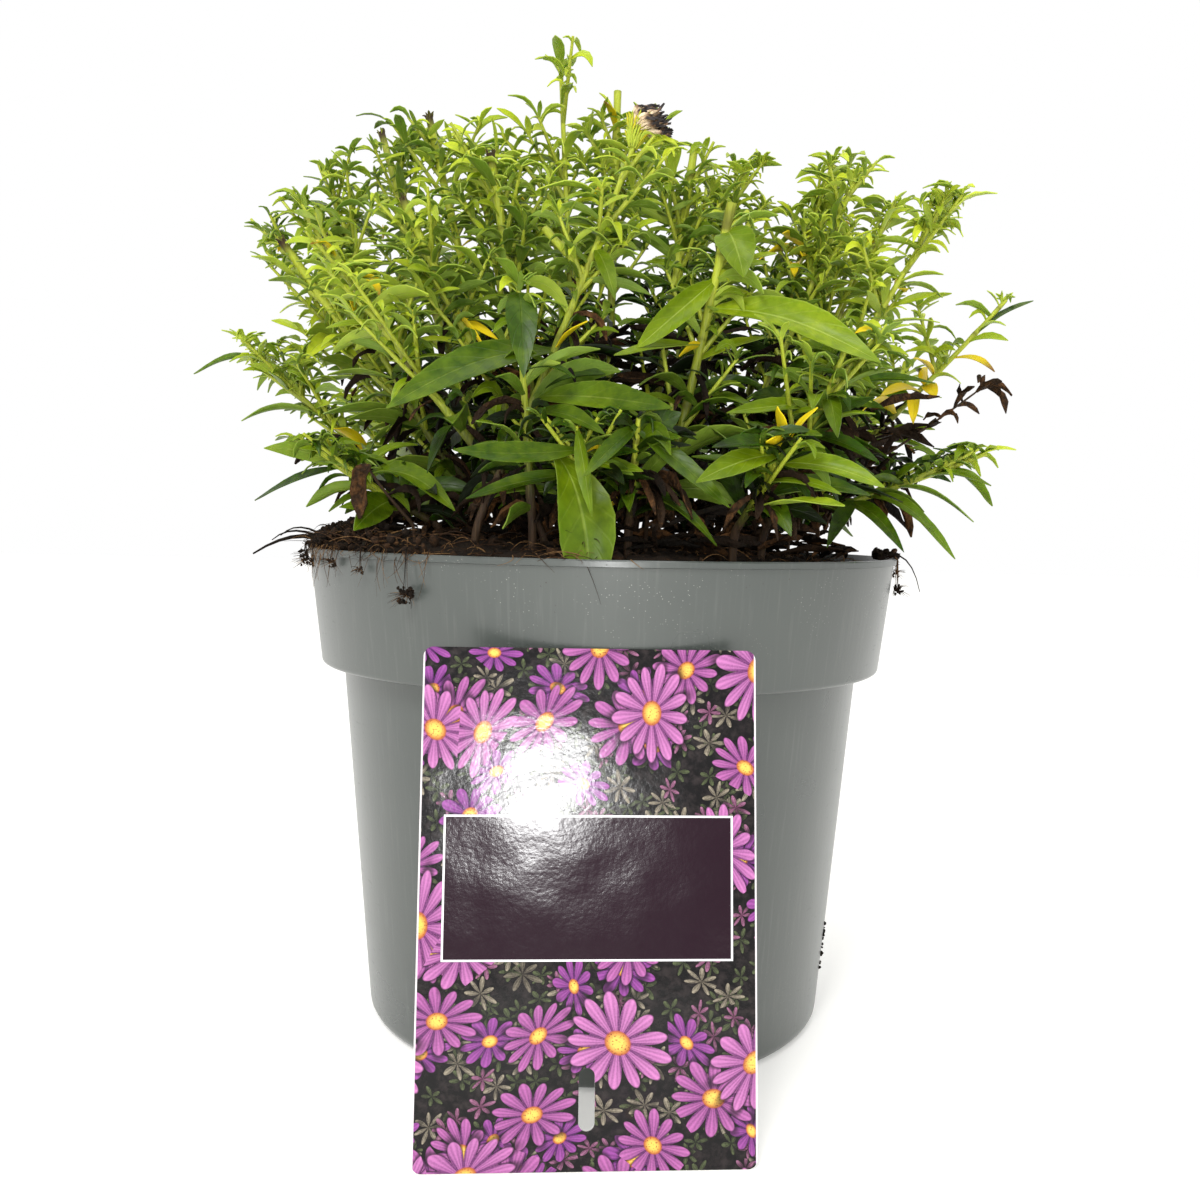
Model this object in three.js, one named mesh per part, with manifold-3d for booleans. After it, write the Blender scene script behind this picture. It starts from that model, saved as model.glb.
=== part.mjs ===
// A dwarf purple aster in its grey nursery pot, cut back after flowering and
// shooting again, with its picture label leaning on the pot.
// Millimetres, +Z up. The origin is the middle of the pot's base, on the floor,
// and the side that carries the label faces -Y.
import * as THREE from 'three';
import { mergeVertices } from 'three/addons/utils/BufferGeometryUtils.js';
import Module from 'manifold-3d';

const wasm = await Module();
wasm.setup();

// Driving dimensions of the pot, a 19 cm container with a stacking collar
const POT = {
  rimRadius: 95,
  height: 149,
  lipHeight: 2,
  lipStandsOut: 0.8,
  collarHeight: 36,
  collarFootRadius: 90.4,
  bodyTopRadius: 83.4,
  footRadius: 73.9,
  footRounding: 4,
  wall: 1.3,
  floorThickness: 2,
  cornerRadius: 1.4,
  sides: 36,
};
// The base stands on a foot ring and a middle disc, with a raised ring between
// them that holds the drainage holes.
const BASE = {
  discRadius: 20,
  ringInner: 66,
  raised: 3,
  slope: 3,
  holes: 8,
  holeRadius: 4.5,
  holeCircle: 48,
};

// Picture label: a printed plastic card with a hanging slot near its foot
const LABEL = {
  width: 85,
  length: 128,
  thickness: 0.6,
  corner: 2.5,
  slotWidth: 4,
  slotLength: 15,
  slotCentre: 17,
  lean: 0.173,
  turn: 0.067,
  offset: -8.6,
};

const GAP = 0.3; // what touching solids keep between them

// Soil: filled to the rim, and heaped round the crown and to the left
const SOIL = {
  edgeHeight: 146.5,
  heapHeight: 151,
  leftHeap: 2,
  fullRadius: 92,
  roughness: 0.8,
  rings: [30, 60, 84],
  sides: 22,
};

// Plant: stems stand in the soil down to stemBottom and are upright up to
// stemFree, where they are clear of it
const PLANT = {
  stemBottom: 139,
  stemFree: 156,
  footSpread: 0.38,
  footRadius: 1.9,
  cutTopRadius: 1.5,
  growingTopRadius: 0.8,
  tipLeafReach: 6,
  shootRadius: 0.8,
  clearance: 0.35,
  stemClearance: 1,
  lowestLeaf: 155,
};
// The crown of the plant is a dome. At each distance from the axis it gives
// the height that leaves reach, and no stem's leaves pass its own tip. Beyond
// widest only stems that lean out further have leaves.
const CROWN = { foot: 171, rise: 140, radius: 160, widest: 126, pastTip: 3 };
const CUT_STEM = { shoots: 2, largeLeaves: 4, upperLeaves: 4 };
const GROWING_STEM = { shoots: 1, largeLeaves: 4, upperLeaves: 5 };
const LOW_STEM = { shoots: 0, largeLeaves: 1, upperLeaves: 3 };
const LEAVES_PER_SHOOT = 3;
const WITHERED_LEAVES = 6;
// Side shoots start between these shares of the stem's length. They slant
// between straight out, along the stem and straight up.
const SHOOT = { low: 0.55, high: 0.92, shortest: 20, longest: 36, follow: 0.9, lift: 0.6 };
const GOLDEN_ANGLE = 2.39996;
const TRIES = 10;
const TRY_TURN = 0.7;
const TRY_SHORTER = 0.04;

// Leaves: lengths, widths as a share of the length, and angles in radians.
// rise is the angle above level at the base, droop the one below level at
// the tip, and roll the most that the blade turns about its midrib. Sections
// are [share of the length, share of the half width].
const BLADE_THICKNESS = 0.9;
const BLADE_FOLD = 0.15;
const LARGE_LEAF = {
  length: [24, 38],
  width: [0.17, 0.24],
  rise: [0.1, 0.7],
  droop: [0.1, 0.8],
  roll: 0.7,
  sections: [[0.34, 0.95], [0.7, 0.85]],
};
const DEAD_LEAF = { ...LARGE_LEAF, rise: [-0.3, 0.3], droop: [0.9, 1.4] };
const SMALL_LEAF = {
  length: [12, 18],
  width: [0.22, 0.28],
  rise: [0.4, 0.9],
  droop: [-0.1, 0.6],
  roll: 0.5,
  sections: [[0.5, 1]],
};
const NAMED_SECTIONS = [[0.14, 0.35], [0.46, 1], [0.78, 0.7]];
// The plant keeps this far from the front of a large leaf, in equal steps, and
// of the seed head, so that both are seen whole.
const OPEN_FRONT = [8, 16];
const HEAD_ROOM = 8;

// Where each leafy stem ends: [x, y, z]. "cut" stems were clipped after
// flowering and end blunt, the others end in a growing tip.
const STEMS = [
  { tip: [-123, -5, 219] },
  { tip: [-116, 12, 259] },
  { tip: [-97, -25, 259] },
  { tip: [-103, 24, 285] },
  { tip: [-82, 40, 296], cut: true },
  { tip: [-61, 12, 293], cut: true },
  { tip: [-60, -45, 251], cut: true, foot: [-8, -42] },
  { tip: [-81, -52, 237], cut: true, foot: [-16, -54] },
  { tip: [-103, -15, 245], cut: true, foot: [-32, -12] },
  { tip: [-36, -32, 268], cut: true },
  { tip: [-17, 0, 310] },
  { tip: [2, 17, 304], cut: true },
  { tip: [7, -62, 264], flower: true, foot: [-36, -64] },
  { tip: [27, -4, 280], cut: true },
  { tip: [46, 16, 284] },
  { tip: [34, -58, 248], cut: true, foot: [15, -48] },
  { tip: [77, 24, 283], cut: true },
  { tip: [81, -6, 276] },
  { tip: [97, 8, 271] },
  { tip: [103, -30, 259] },
  { tip: [138, 10, 240] },
  { tip: [122, -32, 184] },
  { tip: [49, -88, 184], foot: [36, -66] },
  { tip: [67, -74, 214], foot: [46, -50] },
  { tip: [-9, -86, 188], foot: [1, -61] },
  { tip: [-45, -4, 284] },
  { tip: [-91, -50, 182], foot: [-48, -36] },
  // towards the back
  { tip: [-110, 60, 250] },
  { tip: [-72, 84, 264], cut: true },
  { tip: [-22, 58, 296], cut: true },
  { tip: [-18, 98, 262] },
  { tip: [38, 66, 290], cut: true },
  { tip: [50, 100, 256] },
  { tip: [88, 62, 270], cut: true },
  { tip: [122, 50, 230] },
  { tip: [-104, 86, 210], foot: [-46, 44] },
  { tip: [-56, 112, 206], foot: [-24, 58] },
  { tip: [6, 124, 208], foot: [4, 62] },
  { tip: [64, 112, 206], foot: [30, 58] },
  { tip: [108, 84, 206], foot: [52, 40] },
  // low at the front
  { tip: [-24, -78, 226], foot: [-19, -72], low: true },
  { tip: [9, -86, 191], foot: [7, -66], low: true },
];

// Brown stems that died back, with curled hanging leaves
const WITHERED = [
  { tip: [126, -12, 208], foot: [50, -12] },
  { tip: [-70, -64, 178], foot: [-54, -52] },
  { tip: [64, -54, 192], foot: [56, -36] },
  { tip: [12, -78, 178], foot: [10, -64] },
  { tip: [-44, 74, 186], foot: [-36, 48] },
];

// The large leaves that show most. stem counts from 1 in STEMS, and at is the
// share of the stem's length where the leaf starts. From there it runs to its
// tip, and rises by the share arch of its length on the way.
const LARGE_LEAVES = [
  { stem: 16, at: 0.72, tip: [72, -80, 202], width: 12.5, roll: 0.9, arch: 0.14 },
  { stem: 16, at: 0.8, tip: [8, -76, 205], width: 9, roll: -1.1, arch: 0 },
  { stem: 16, at: 0.62, tip: [2, -84, 202], width: 4.5, roll: -0.5, arch: 0.05 },
  { stem: 16, at: 0.93, tip: [37, -66, 226], width: 12, roll: 0.5, arch: 0.3 },
  { stem: 41, at: 0.98, tip: [-21, -90, 195], width: 8.5, roll: 0.1, arch: 0.35 },
  { stem: 13, at: 0.38, tip: [17, -90, 188], width: 9, roll: 1.1, arch: 0.05 },
  { stem: 13, at: 0.33, tip: [0, -89, 181], width: 6, roll: 0.6, arch: 0.16 },
  { stem: 13, at: 0.5, tip: [-57, -84, 187], width: 11, roll: -0.9, arch: 0.16 },
  { stem: 25, at: 0.8, tip: [-38, -96, 176], width: 6.5, roll: -1.1, arch: -0.06 },
  { stem: 25, at: 0.8, tip: [-2, -90, 148.2], width: 17, roll: 0.3, arch: 0.12 },
  { stem: 25, at: 0.98, tip: [-3, -97, 160], width: 4.5, roll: 0.9, arch: 0.1 },
  { stem: 42, at: 0.9, tip: [32, -93, 163], width: 5.5, roll: 0.9, arch: 0.05 },
  { stem: 42, at: 0.95, tip: [-5, -97, 170], width: 5, roll: -0.8, arch: 0.05 },
  { stem: 42, at: 0.85, tip: [20, -79, 188], width: 7.5, roll: 1.1, arch: 0 },
  { stem: 23, at: 0.9, tip: [23, -98, 169], width: 7, roll: -0.9, arch: 0.1 },
  { stem: 23, at: 0.8, tip: [71, -94, 169], width: 7, roll: 0.9, arch: 0.14 },
  { stem: 22, at: 0.45, tip: [63, -62, 153], width: 5, roll: -0.4, arch: 0.1 },
  { stem: 27, at: 0.35, tip: [-68, -70, 155], width: 9, roll: -0.9, arch: 0.1 },
  { stem: 27, at: 0.75, tip: [-104, -40, 163], width: 5, roll: -0.6, arch: 0.1 },
  { stem: 1, at: 0.92, tip: [-134, -5, 204], width: 5, roll: -0.4, arch: 0.16 },
  { stem: 21, at: 0.85, tip: [143, 10, 236], width: 3.5, roll: 0.4, arch: 0.16 },
  { stem: 22, at: 0.85, tip: [118, -34, 166], width: 6, roll: 0.4, arch: 0.16 },
  { stem: 22, at: 0.55, tip: [105, -42, 150], width: 5, roll: 0.3, arch: 0.16 },
];

const COLOURS = {
  potGrey: 0x7b7e7a,
  soilBrown: 0x2a2018,
  leafGreen: 0x5c8420,
  leafLight: 0x7ea02a,
  witheredBrown: 0x4f3b24,
  flowerHead: 0x8a7758,
  labelPurple: 0x7a3f86,
};

const part = new THREE.Group();

function material(color, roughness) {
  return new THREE.MeshStandardMaterial({ color, roughness, metalness: 0 });
}

function addPart(name, geometry, color, roughness) {
  const mesh = new THREE.Mesh(geometry, material(color, roughness));
  mesh.name = name;
  part.add(mesh);
  return mesh;
}

// Joining and cutting

function solidOf(geometry) {
  const bare = geometry.index ? geometry.toNonIndexed() : geometry.clone();
  bare.deleteAttribute('normal');
  bare.deleteAttribute('uv');
  const merged = mergeVertices(bare, 1e-4);
  return new wasm.Manifold(
    new wasm.Mesh({
      numProp: 3,
      vertProperties: new Float32Array(merged.attributes.position.array),
      triVerts: new Uint32Array(merged.index.array),
    }),
  );
}

// The union, without the loose scraps and sealed pockets that crossing
// leaves can leave
function joinAll(geometries) {
  const union = wasm.Manifold.union(geometries.map(solidOf));
  const bySize = (one, other) => other.volume() - one.volume();
  return union.decompose().sort(bySize)[0];
}

function geometryOf(solid) {
  const { numProp, vertProperties, triVerts } = solid.getMesh();
  const buffer = new THREE.InterleavedBuffer(vertProperties, numProp);
  const geometry = new THREE.BufferGeometry();
  const position = new THREE.InterleavedBufferAttribute(buffer, 3, 0);
  geometry.setAttribute('position', position);
  geometry.setIndex(new THREE.BufferAttribute(triVerts, 1));
  const plain = geometry.toNonIndexed();
  plain.computeVertexNormals();
  return plain;
}

// A closed skin through rings of points, each end drawn to a point
function loft(start, rings, end) {
  const sides = rings[0].length;
  const points = [start, ...rings.flat(), end];
  const last = points.length - 1;
  const at = (ring, side) => 1 + ring * sides + (side % sides);
  const faces = [];
  for (let s = 0; s < sides; s++) {
    faces.push(0, at(0, s + 1), at(0, s));
    faces.push(last, at(rings.length - 1, s), at(rings.length - 1, s + 1));
    for (let r = 0; r + 1 < rings.length; r++) {
      faces.push(at(r, s), at(r, s + 1), at(r + 1, s + 1));
      faces.push(at(r, s), at(r + 1, s + 1), at(r + 1, s));
    }
  }
  const flat = new Float32Array(points.flatMap((p) => [p.x, p.y, p.z]));
  const geometry = new THREE.BufferGeometry();
  geometry.setAttribute('position', new THREE.BufferAttribute(flat, 3));
  geometry.setIndex(faces);
  return geometry;
}

// Small vector help

const UP = new THREE.Vector3(0, 0, 1);
const FRONT = new THREE.Vector3(0, -1, 0);
const point = (x, y, z) => new THREE.Vector3(x, y, z);
const along = (from, direction, distance) =>
  from.clone().addScaledVector(direction, distance);
const bend = (a, b, c, t) => a.clone().lerp(b, t).lerp(b.clone().lerp(c, t), t);
const bendTangent = (a, b, c, t) =>
  b.clone().lerp(c, t).sub(a.clone().lerp(b, t)).normalize();

// Seeded draws from 0 to 1, the same on every run
function dice(seed) {
  let state = 7919 * seed + 104729;
  return (low, high) => {
    state = (state * 16807) % 2147483647;
    return low + ((high - low) * state) / 2147483647;
  };
}

// Pot

function collarRadiusAt(z) {
  const low = POT.height - POT.collarHeight;
  const high = POT.height - POT.lipHeight;
  const top = POT.rimRadius - POT.lipStandsOut;
  const share = (z - low) / (high - low);
  return POT.collarFootRadius + share * (top - POT.collarFootRadius);
}

function bodyRadiusAt(z) {
  const share = z / (POT.height - POT.collarHeight);
  return POT.footRadius + share * (POT.bodyTopRadius - POT.footRadius);
}

function potProfile() {
  const { wall, height, rimRadius, cornerRadius } = POT;
  const collarFoot = height - POT.collarHeight;
  const inner = BASE.raised + POT.floorThickness;
  return [
    [0, 0],
    [BASE.discRadius, 0],
    [BASE.discRadius + BASE.slope, BASE.raised],
    [BASE.ringInner - BASE.slope, BASE.raised],
    [BASE.ringInner, 0],
    [POT.footRadius - POT.footRounding, 0],
    [bodyRadiusAt(POT.footRounding), POT.footRounding],
    [POT.bodyTopRadius, collarFoot],
    [POT.collarFootRadius - cornerRadius, collarFoot],
    [POT.collarFootRadius, collarFoot + cornerRadius],
    [rimRadius - POT.lipStandsOut, height - POT.lipHeight],
    [rimRadius, height - POT.lipHeight],
    [rimRadius, height],
    [rimRadius - POT.lipStandsOut - wall, height],
    [collarRadiusAt(collarFoot) - wall, collarFoot + wall],
    [POT.bodyTopRadius - wall, collarFoot + wall],
    [bodyRadiusAt(inner) - wall, inner + cornerRadius],
    [bodyRadiusAt(inner) - wall - cornerRadius, inner],
    [0, inner],
  ].map(([r, z]) => new THREE.Vector2(r, z));
}

function makePot() {
  // The lathe turns about Y, so it is stood up along Z.
  const lathe = new THREE.LatheGeometry(potProfile(), POT.sides);
  lathe.rotateX(Math.PI / 2);
  let pot = solidOf(lathe);
  for (let i = 0; i < BASE.holes; i++) {
    const angle = ((i + 0.5) * 2 * Math.PI) / BASE.holes;
    const drill = new THREE.CylinderGeometry(
      BASE.holeRadius, BASE.holeRadius, 4 * POT.floorThickness, 8,
    );
    drill.rotateX(Math.PI / 2);
    drill.translate(
      BASE.holeCircle * Math.cos(angle),
      BASE.holeCircle * Math.sin(angle),
      BASE.raised + POT.floorThickness / 2,
    );
    pot = pot.subtract(solidOf(drill));
  }
  addPart('pot', geometryOf(pot), COLOURS.potGrey, 0.45);
}

// Label

function labelOutline() {
  const { width, length, corner, slotWidth, slotLength, slotCentre } = LABEL;
  const half = width / 2;
  const outline = new THREE.Shape();
  outline.moveTo(-half + corner, 0);
  outline.lineTo(half - corner, 0);
  outline.quadraticCurveTo(half, 0, half, corner);
  outline.lineTo(half, length - corner);
  outline.quadraticCurveTo(half, length, half - corner, length);
  outline.lineTo(-half + corner, length);
  outline.quadraticCurveTo(-half, length, -half, length - corner);
  outline.lineTo(-half, corner);
  outline.quadraticCurveTo(-half, 0, -half + corner, 0);
  const round = slotWidth / 2;
  const reach = slotLength / 2 - round;
  const slot = new THREE.Path();
  slot.absarc(0, slotCentre + reach, round, 0, Math.PI);
  slot.absarc(0, slotCentre - reach, round, Math.PI, 2 * Math.PI);
  outline.holes.push(slot);
  return outline;
}

function makeLabel() {
  const { thickness, length, lean, turn, offset } = LABEL;
  const card = new THREE.ExtrudeGeometry(labelOutline(), {
    depth: thickness, bevelEnabled: false, curveSegments: 4,
  });
  // Stood up with its face to -Y, leaning back on the collar
  card.rotateX(Math.PI / 2 - lean);
  const top = length * Math.cos(lean);
  const reach = collarRadiusAt(top) + GAP + length * Math.sin(lean);
  const holder = new THREE.Group();
  holder.rotation.z = turn;
  const label = addPart('label', card, COLOURS.labelPurple, 0.25);
  label.position.set(offset, -reach, 0);
  holder.add(label);
  part.add(holder);
}

// Where stems, shoots and leaves run. A growth is a list of capsules that its
// stem claims, so that no other stem's leaves pass through it.

const claims = [];

function segmentDistance(a, b, c, d) {
  const u = b.clone().sub(a);
  const v = d.clone().sub(c);
  const w = a.clone().sub(c);
  const uu = u.dot(u);
  const uv = u.dot(v);
  const vv = v.dot(v);
  const uw = u.dot(w);
  const vw = v.dot(w);
  const clamp = (x) => Math.min(1, Math.max(0, x));
  const cross = uu * vv - uv * uv;
  let s = cross > 1e-9 ? clamp((uv * vw - vv * uw) / cross) : 0.5;
  const t = clamp((uv * s + vw) / vv);
  s = clamp((uv * t - uw) / uu);
  return along(w, u, s).addScaledVector(v, -t).length();
}

function isFree(owner, capsules, clearance) {
  return claims.every(
    (other) =>
      other.owner === owner ||
      capsules.every(
        ({ a, b, r }) =>
          segmentDistance(a, b, other.a, other.b) > r + other.r + clearance,
      ),
  );
}

// Above the soil and the pot's rim, under the dome of the crown, and within
// the reach of the stem's own tip
function staysInside(stem, capsules) {
  const points = capsules.flatMap(({ a, b, r }) =>
    [a, a.clone().lerp(b, 0.5), b].map((p) => ({ p, r })),
  );
  return points.every(({ p, r }) => {
    const fromAxis = Math.hypot(p.x, p.y);
    if (fromAxis > Math.max(CROWN.widest, stem.spread)) return false;
    const share = fromAxis / CROWN.radius;
    const dome = CROWN.foot + CROWN.rise * Math.sqrt(1 - share * share);
    if (p.z > Math.min(dome, stem.reach)) return false;
    const outside = fromAxis > POT.rimRadius + r + 1;
    return outside || p.z > PLANT.lowestLeaf + 0.4 * r;
  });
}

function claim(owner, capsules) {
  capsules.forEach((capsule) => claims.push({ owner, ...capsule }));
}

function pathCapsules(points, radii) {
  return points
    .slice(1)
    .map((b, i) => ({ a: points[i], b, r: Math.max(radii[i], radii[i + 1]) }));
}

// Stems

const STEM_SHARES = [0, 0.35, 0.7, 1];

function stemFrom(owner, footX, footY, { tip: [x, y, z], cut, flower, low }) {
  const base = point(footX, footY, PLANT.stemFree);
  const top = point(x, y, z);
  if (!cut && !flower) {
    top.lerp(base, PLANT.tipLeafReach / base.distanceTo(top));
  }
  const lift = point(0.5 * (x - footX), 0.5 * (y - footY), 0.42 * (z - base.z));
  const control = base.clone().add(lift);
  const topRadius = cut ? PLANT.cutTopRadius : PLANT.growingTopRadius;
  const at = (t) => bend(base, control, top, t);
  const radiusAt = (t) => PLANT.footRadius + t * (topRadius - PLANT.footRadius);
  return {
    owner,
    at,
    tangent: (t) => bendTangent(base, control, top, t),
    reach: z,
    spread: Math.hypot(x, y) + CROWN.pastTip,
    kind: low ? LOW_STEM : cut || flower ? CUT_STEM : GROWING_STEM,
    points: [point(footX, footY, PLANT.stemBottom), ...STEM_SHARES.map(at)],
    radii: [PLANT.footRadius, ...STEM_SHARES.map(radiusAt)],
    shoots: [],
    leaves: [],
  };
}

// A stem that would touch another one moves its foot outwards in a spiral.
function planStem(owner, entry) {
  const [x, y] = entry.tip;
  const foot = entry.foot ?? [PLANT.footSpread * x, PLANT.footSpread * y];
  for (let tries = 0; ; tries++) {
    const shift = 2 * Math.sqrt(tries);
    const footX = foot[0] + shift * Math.cos(tries * GOLDEN_ANGLE);
    const footY = foot[1] + shift * Math.sin(tries * GOLDEN_ANGLE);
    const stem = stemFrom(owner, footX, footY, entry);
    const capsules = pathCapsules(stem.points, stem.radii);
    if (!isFree(owner, capsules, PLANT.stemClearance)) continue;
    claim(owner, capsules);
    return stem;
  }
}

// A side shoot leaves the stem at a slant, half outwards and half upwards
function planShoot(stem, share, azimuth, length) {
  const start = stem.at(share);
  const way = point(Math.cos(azimuth), Math.sin(azimuth), 0);
  way.addScaledVector(stem.tangent(share), SHOOT.follow);
  way.addScaledVector(UP, SHOOT.lift).normalize();
  const at = (t) => along(start, way, t * length);
  const radii = [PLANT.shootRadius, 0.6 * PLANT.shootRadius];
  return { at, points: [start, at(1)], radii };
}

function addShoots(stem, roll, count) {
  let azimuth = roll(0, 2 * Math.PI);
  for (let i = 0; i < count; i++) {
    const share = roll(SHOOT.low, SHOOT.high);
    const longest = roll(SHOOT.shortest, SHOOT.longest);
    for (let tries = 0; tries < TRIES; tries++) {
      azimuth += GOLDEN_ANGLE;
      const length = longest * (1 - TRY_SHORTER * tries);
      const shoot = planShoot(stem, share, azimuth, length);
      const capsules = pathCapsules(shoot.points, shoot.radii);
      if (!isFree(stem.owner, capsules, PLANT.clearance)) continue;
      if (!staysInside(stem, capsules)) continue;
      claim(stem.owner, capsules);
      stem.shoots.push(shoot);
      break;
    }
  }
}

// Leaves

// A leaf runs from base through control to tip. roll turns its blade about
// its midrib.
function leafPath(base, azimuth, rise, droop, length) {
  const out = point(Math.cos(azimuth), Math.sin(azimuth), 0);
  const first = along(
    out.clone().multiplyScalar(Math.cos(rise)), UP, Math.sin(rise),
  );
  const second = along(
    out.clone().multiplyScalar(Math.cos(droop)), UP, -Math.sin(droop),
  );
  const control = along(base, first, 0.5 * length);
  return { base, control, tip: along(control, second, 0.5 * length) };
}

const CAPSULE_LENGTH = 14;
const LEAF_STALK = 0.12; // this share of a leaf may touch what its stem touches

function leafCapsules({ base, control, tip, width }) {
  const count = Math.ceil(base.distanceTo(tip) / CAPSULE_LENGTH);
  const path = Array.from({ length: count + 1 }, (_, i) => {
    const share = LEAF_STALK + ((1 - LEAF_STALK) * i) / count;
    return bend(base, control, tip, share);
  });
  return pathCapsules(path, path.map(() => Math.max(0.5 * width, 1)));
}

// Draws a leaf of the given kind, and turns it round its stem until it is
// clear of what other stems hold
function placeLeaf(stem, start, azimuth, kind, roll, scale = 1) {
  const length = roll(...kind.length) * scale;
  const width = length * roll(...kind.width);
  const rise = roll(...kind.rise);
  const droop = roll(...kind.droop);
  const twist = roll(-kind.roll, kind.roll);
  for (let tries = 0; tries < TRIES; tries++) {
    const turned = azimuth + tries * TRY_TURN;
    const path = leafPath(start, turned, rise, droop, length);
    const leaf = { ...path, width, roll: twist, sections: kind.sections };
    const capsules = leafCapsules(leaf);
    if (!isFree(stem.owner, capsules, PLANT.clearance)) continue;
    if (!staysInside(stem, capsules)) continue;
    claim(stem.owner, capsules);
    stem.leaves.push(leaf);
    return;
  }
}

// Large leaves, longest low on the stem
function addStemLeaves(stem, roll, count, kind) {
  let azimuth = roll(0, 2 * Math.PI);
  for (let i = 0; i < count; i++) {
    azimuth += GOLDEN_ANGLE;
    const share = roll(0.16, 0.3) + (0.6 * i) / count;
    const scale = 1.1 - 0.45 * share;
    placeLeaf(stem, stem.at(share), azimuth, kind, roll, scale);
  }
}

// Small leaves, from the tip of a stem or shoot downwards
function addTipLeaves(stem, at, roll, count) {
  let azimuth = roll(0, 2 * Math.PI);
  for (let i = 0; i < count; i++) {
    azimuth += GOLDEN_ANGLE;
    const share = 1 - (0.7 * i) / count;
    placeLeaf(stem, at(share), azimuth, SMALL_LEAF, roll);
  }
}

function addNamedLeaf({ stem: number, at, tip: [x, y, z], width, roll, arch }) {
  const stem = stems[number - 1];
  const base = stem.at(at);
  const tip = point(x, y, z);
  const control = base.clone().lerp(tip, 0.45);
  control.z += arch * base.distanceTo(tip);
  const leaf = { base, control, tip, width, roll, sections: NAMED_SECTIONS };
  const capsules = leafCapsules(leaf);
  claim(stem.owner, capsules);
  OPEN_FRONT.forEach((step) => {
    claim('open', capsules.map(({ a, b, r }) => {
      return { a: along(a, FRONT, step), b: along(b, FRONT, step), r };
    }));
  });
  stem.leaves.push(leaf);
}

function keepHeadOpen({ at, tangent }) {
  const middle = along(at(1), tangent(1), HEAD_ROOM);
  const front = along(middle, FRONT, 3 * HEAD_ROOM);
  claim('open', [{ a: middle, b: front, r: HEAD_ROOM }]);
}

const stems = STEMS.map((stem, i) => planStem(`stem_${i + 1}`, stem));
const withered = WITHERED.map((stem, i) => planStem(`withered_${i + 1}`, stem));
LARGE_LEAVES.forEach(addNamedLeaf);
const flowering = stems[STEMS.findIndex(({ flower }) => flower)];
keepHeadOpen(flowering);
const rolls = stems.map((_, i) => dice(i + 1));
const witheredRolls = withered.map((_, i) => dice(i + 101));
stems.forEach((stem, i) => addShoots(stem, rolls[i], stem.kind.shoots));
stems.forEach((stem, i) => {
  addStemLeaves(stem, rolls[i], stem.kind.largeLeaves, LARGE_LEAF);
});
withered.forEach((stem, i) => {
  addStemLeaves(stem, witheredRolls[i], WITHERED_LEAVES, DEAD_LEAF);
});
stems.forEach((stem, i) => {
  for (const shoot of stem.shoots) {
    addTipLeaves(stem, shoot.at, rolls[i], LEAVES_PER_SHOOT);
  }
  const upper = (t) => stem.at(SHOOT.low + (1 - SHOOT.low) * t);
  addTipLeaves(stem, upper, rolls[i], stem.kind.upperLeaves);
});

// Solids of the plant

const STEM_SIDES = 5;
const SHOOT_SIDES = 3;

function ringAround(centre, normal, side, radius, sides) {
  const across = side.clone().addScaledVector(normal, -side.dot(normal));
  across.normalize();
  const other = new THREE.Vector3().crossVectors(normal, across);
  return Array.from({ length: sides }, (_, i) => {
    const angle = (2 * Math.PI * i) / sides;
    return along(centre, across, radius * Math.cos(angle))
      .addScaledVector(other, radius * Math.sin(angle));
  });
}

function tube(points, radii, sides) {
  const side = point(0, 1, 0);
  const rings = points.map((p, i) => {
    const before = points[Math.max(i - 1, 0)];
    const after = points[Math.min(i + 1, points.length - 1)];
    // The lowest ring stays level, so the foot is a plain prism.
    const steep = i === 1 && before.x === p.x && before.y === p.y;
    const normal = steep ? UP.clone() : after.clone().sub(before).normalize();
    return ringAround(p, normal, side, radii[i], sides);
  });
  return loft(points[0], rings, points[points.length - 1]);
}

function blade({ base, control, tip, width, roll, sections }) {
  const rings = sections.map(([share, half]) => {
    const centre = bend(base, control, tip, share);
    const forward = bendTangent(base, control, tip, share);
    const level = new THREE.Vector3().crossVectors(forward, UP).normalize();
    const across = level.applyAxisAngle(forward, roll);
    const face = new THREE.Vector3().crossVectors(across, forward);
    const reach = 0.5 * width * half;
    const left = along(centre, across, reach);
    const right = along(centre, across, -reach);
    const fold = -BLADE_FOLD * reach;
    const under = along(centre, face, fold - 0.6 * BLADE_THICKNESS);
    const over = along(centre, face, fold + 0.4 * BLADE_THICKNESS);
    const thick = sections === NAMED_SECTIONS;
    return thick ? [left, under, right, over] : [left, under, right];
  });
  return loft(base, rings, tip);
}

function fuse(stem) {
  const pieces = [
    tube(stem.points, stem.radii, STEM_SIDES),
    ...stem.shoots.map((s) => tube(s.points, s.radii, SHOOT_SIDES)),
    ...stem.leaves.map(blade),
  ];
  return geometryOf(joinAll(pieces));
}

// Soil

function soilHeight(radius, angle, roll) {
  const inside = 1 - (radius / SOIL.fullRadius) ** 6;
  const leftHeap = (-SOIL.leftHeap * radius * Math.cos(angle)) / SOIL.fullRadius;
  const heap = SOIL.heapHeight - SOIL.edgeHeight + leftHeap;
  const bump = roll(-SOIL.roughness, SOIL.roughness);
  return SOIL.edgeHeight + heap * inside + leftHeap + bump;
}

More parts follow.
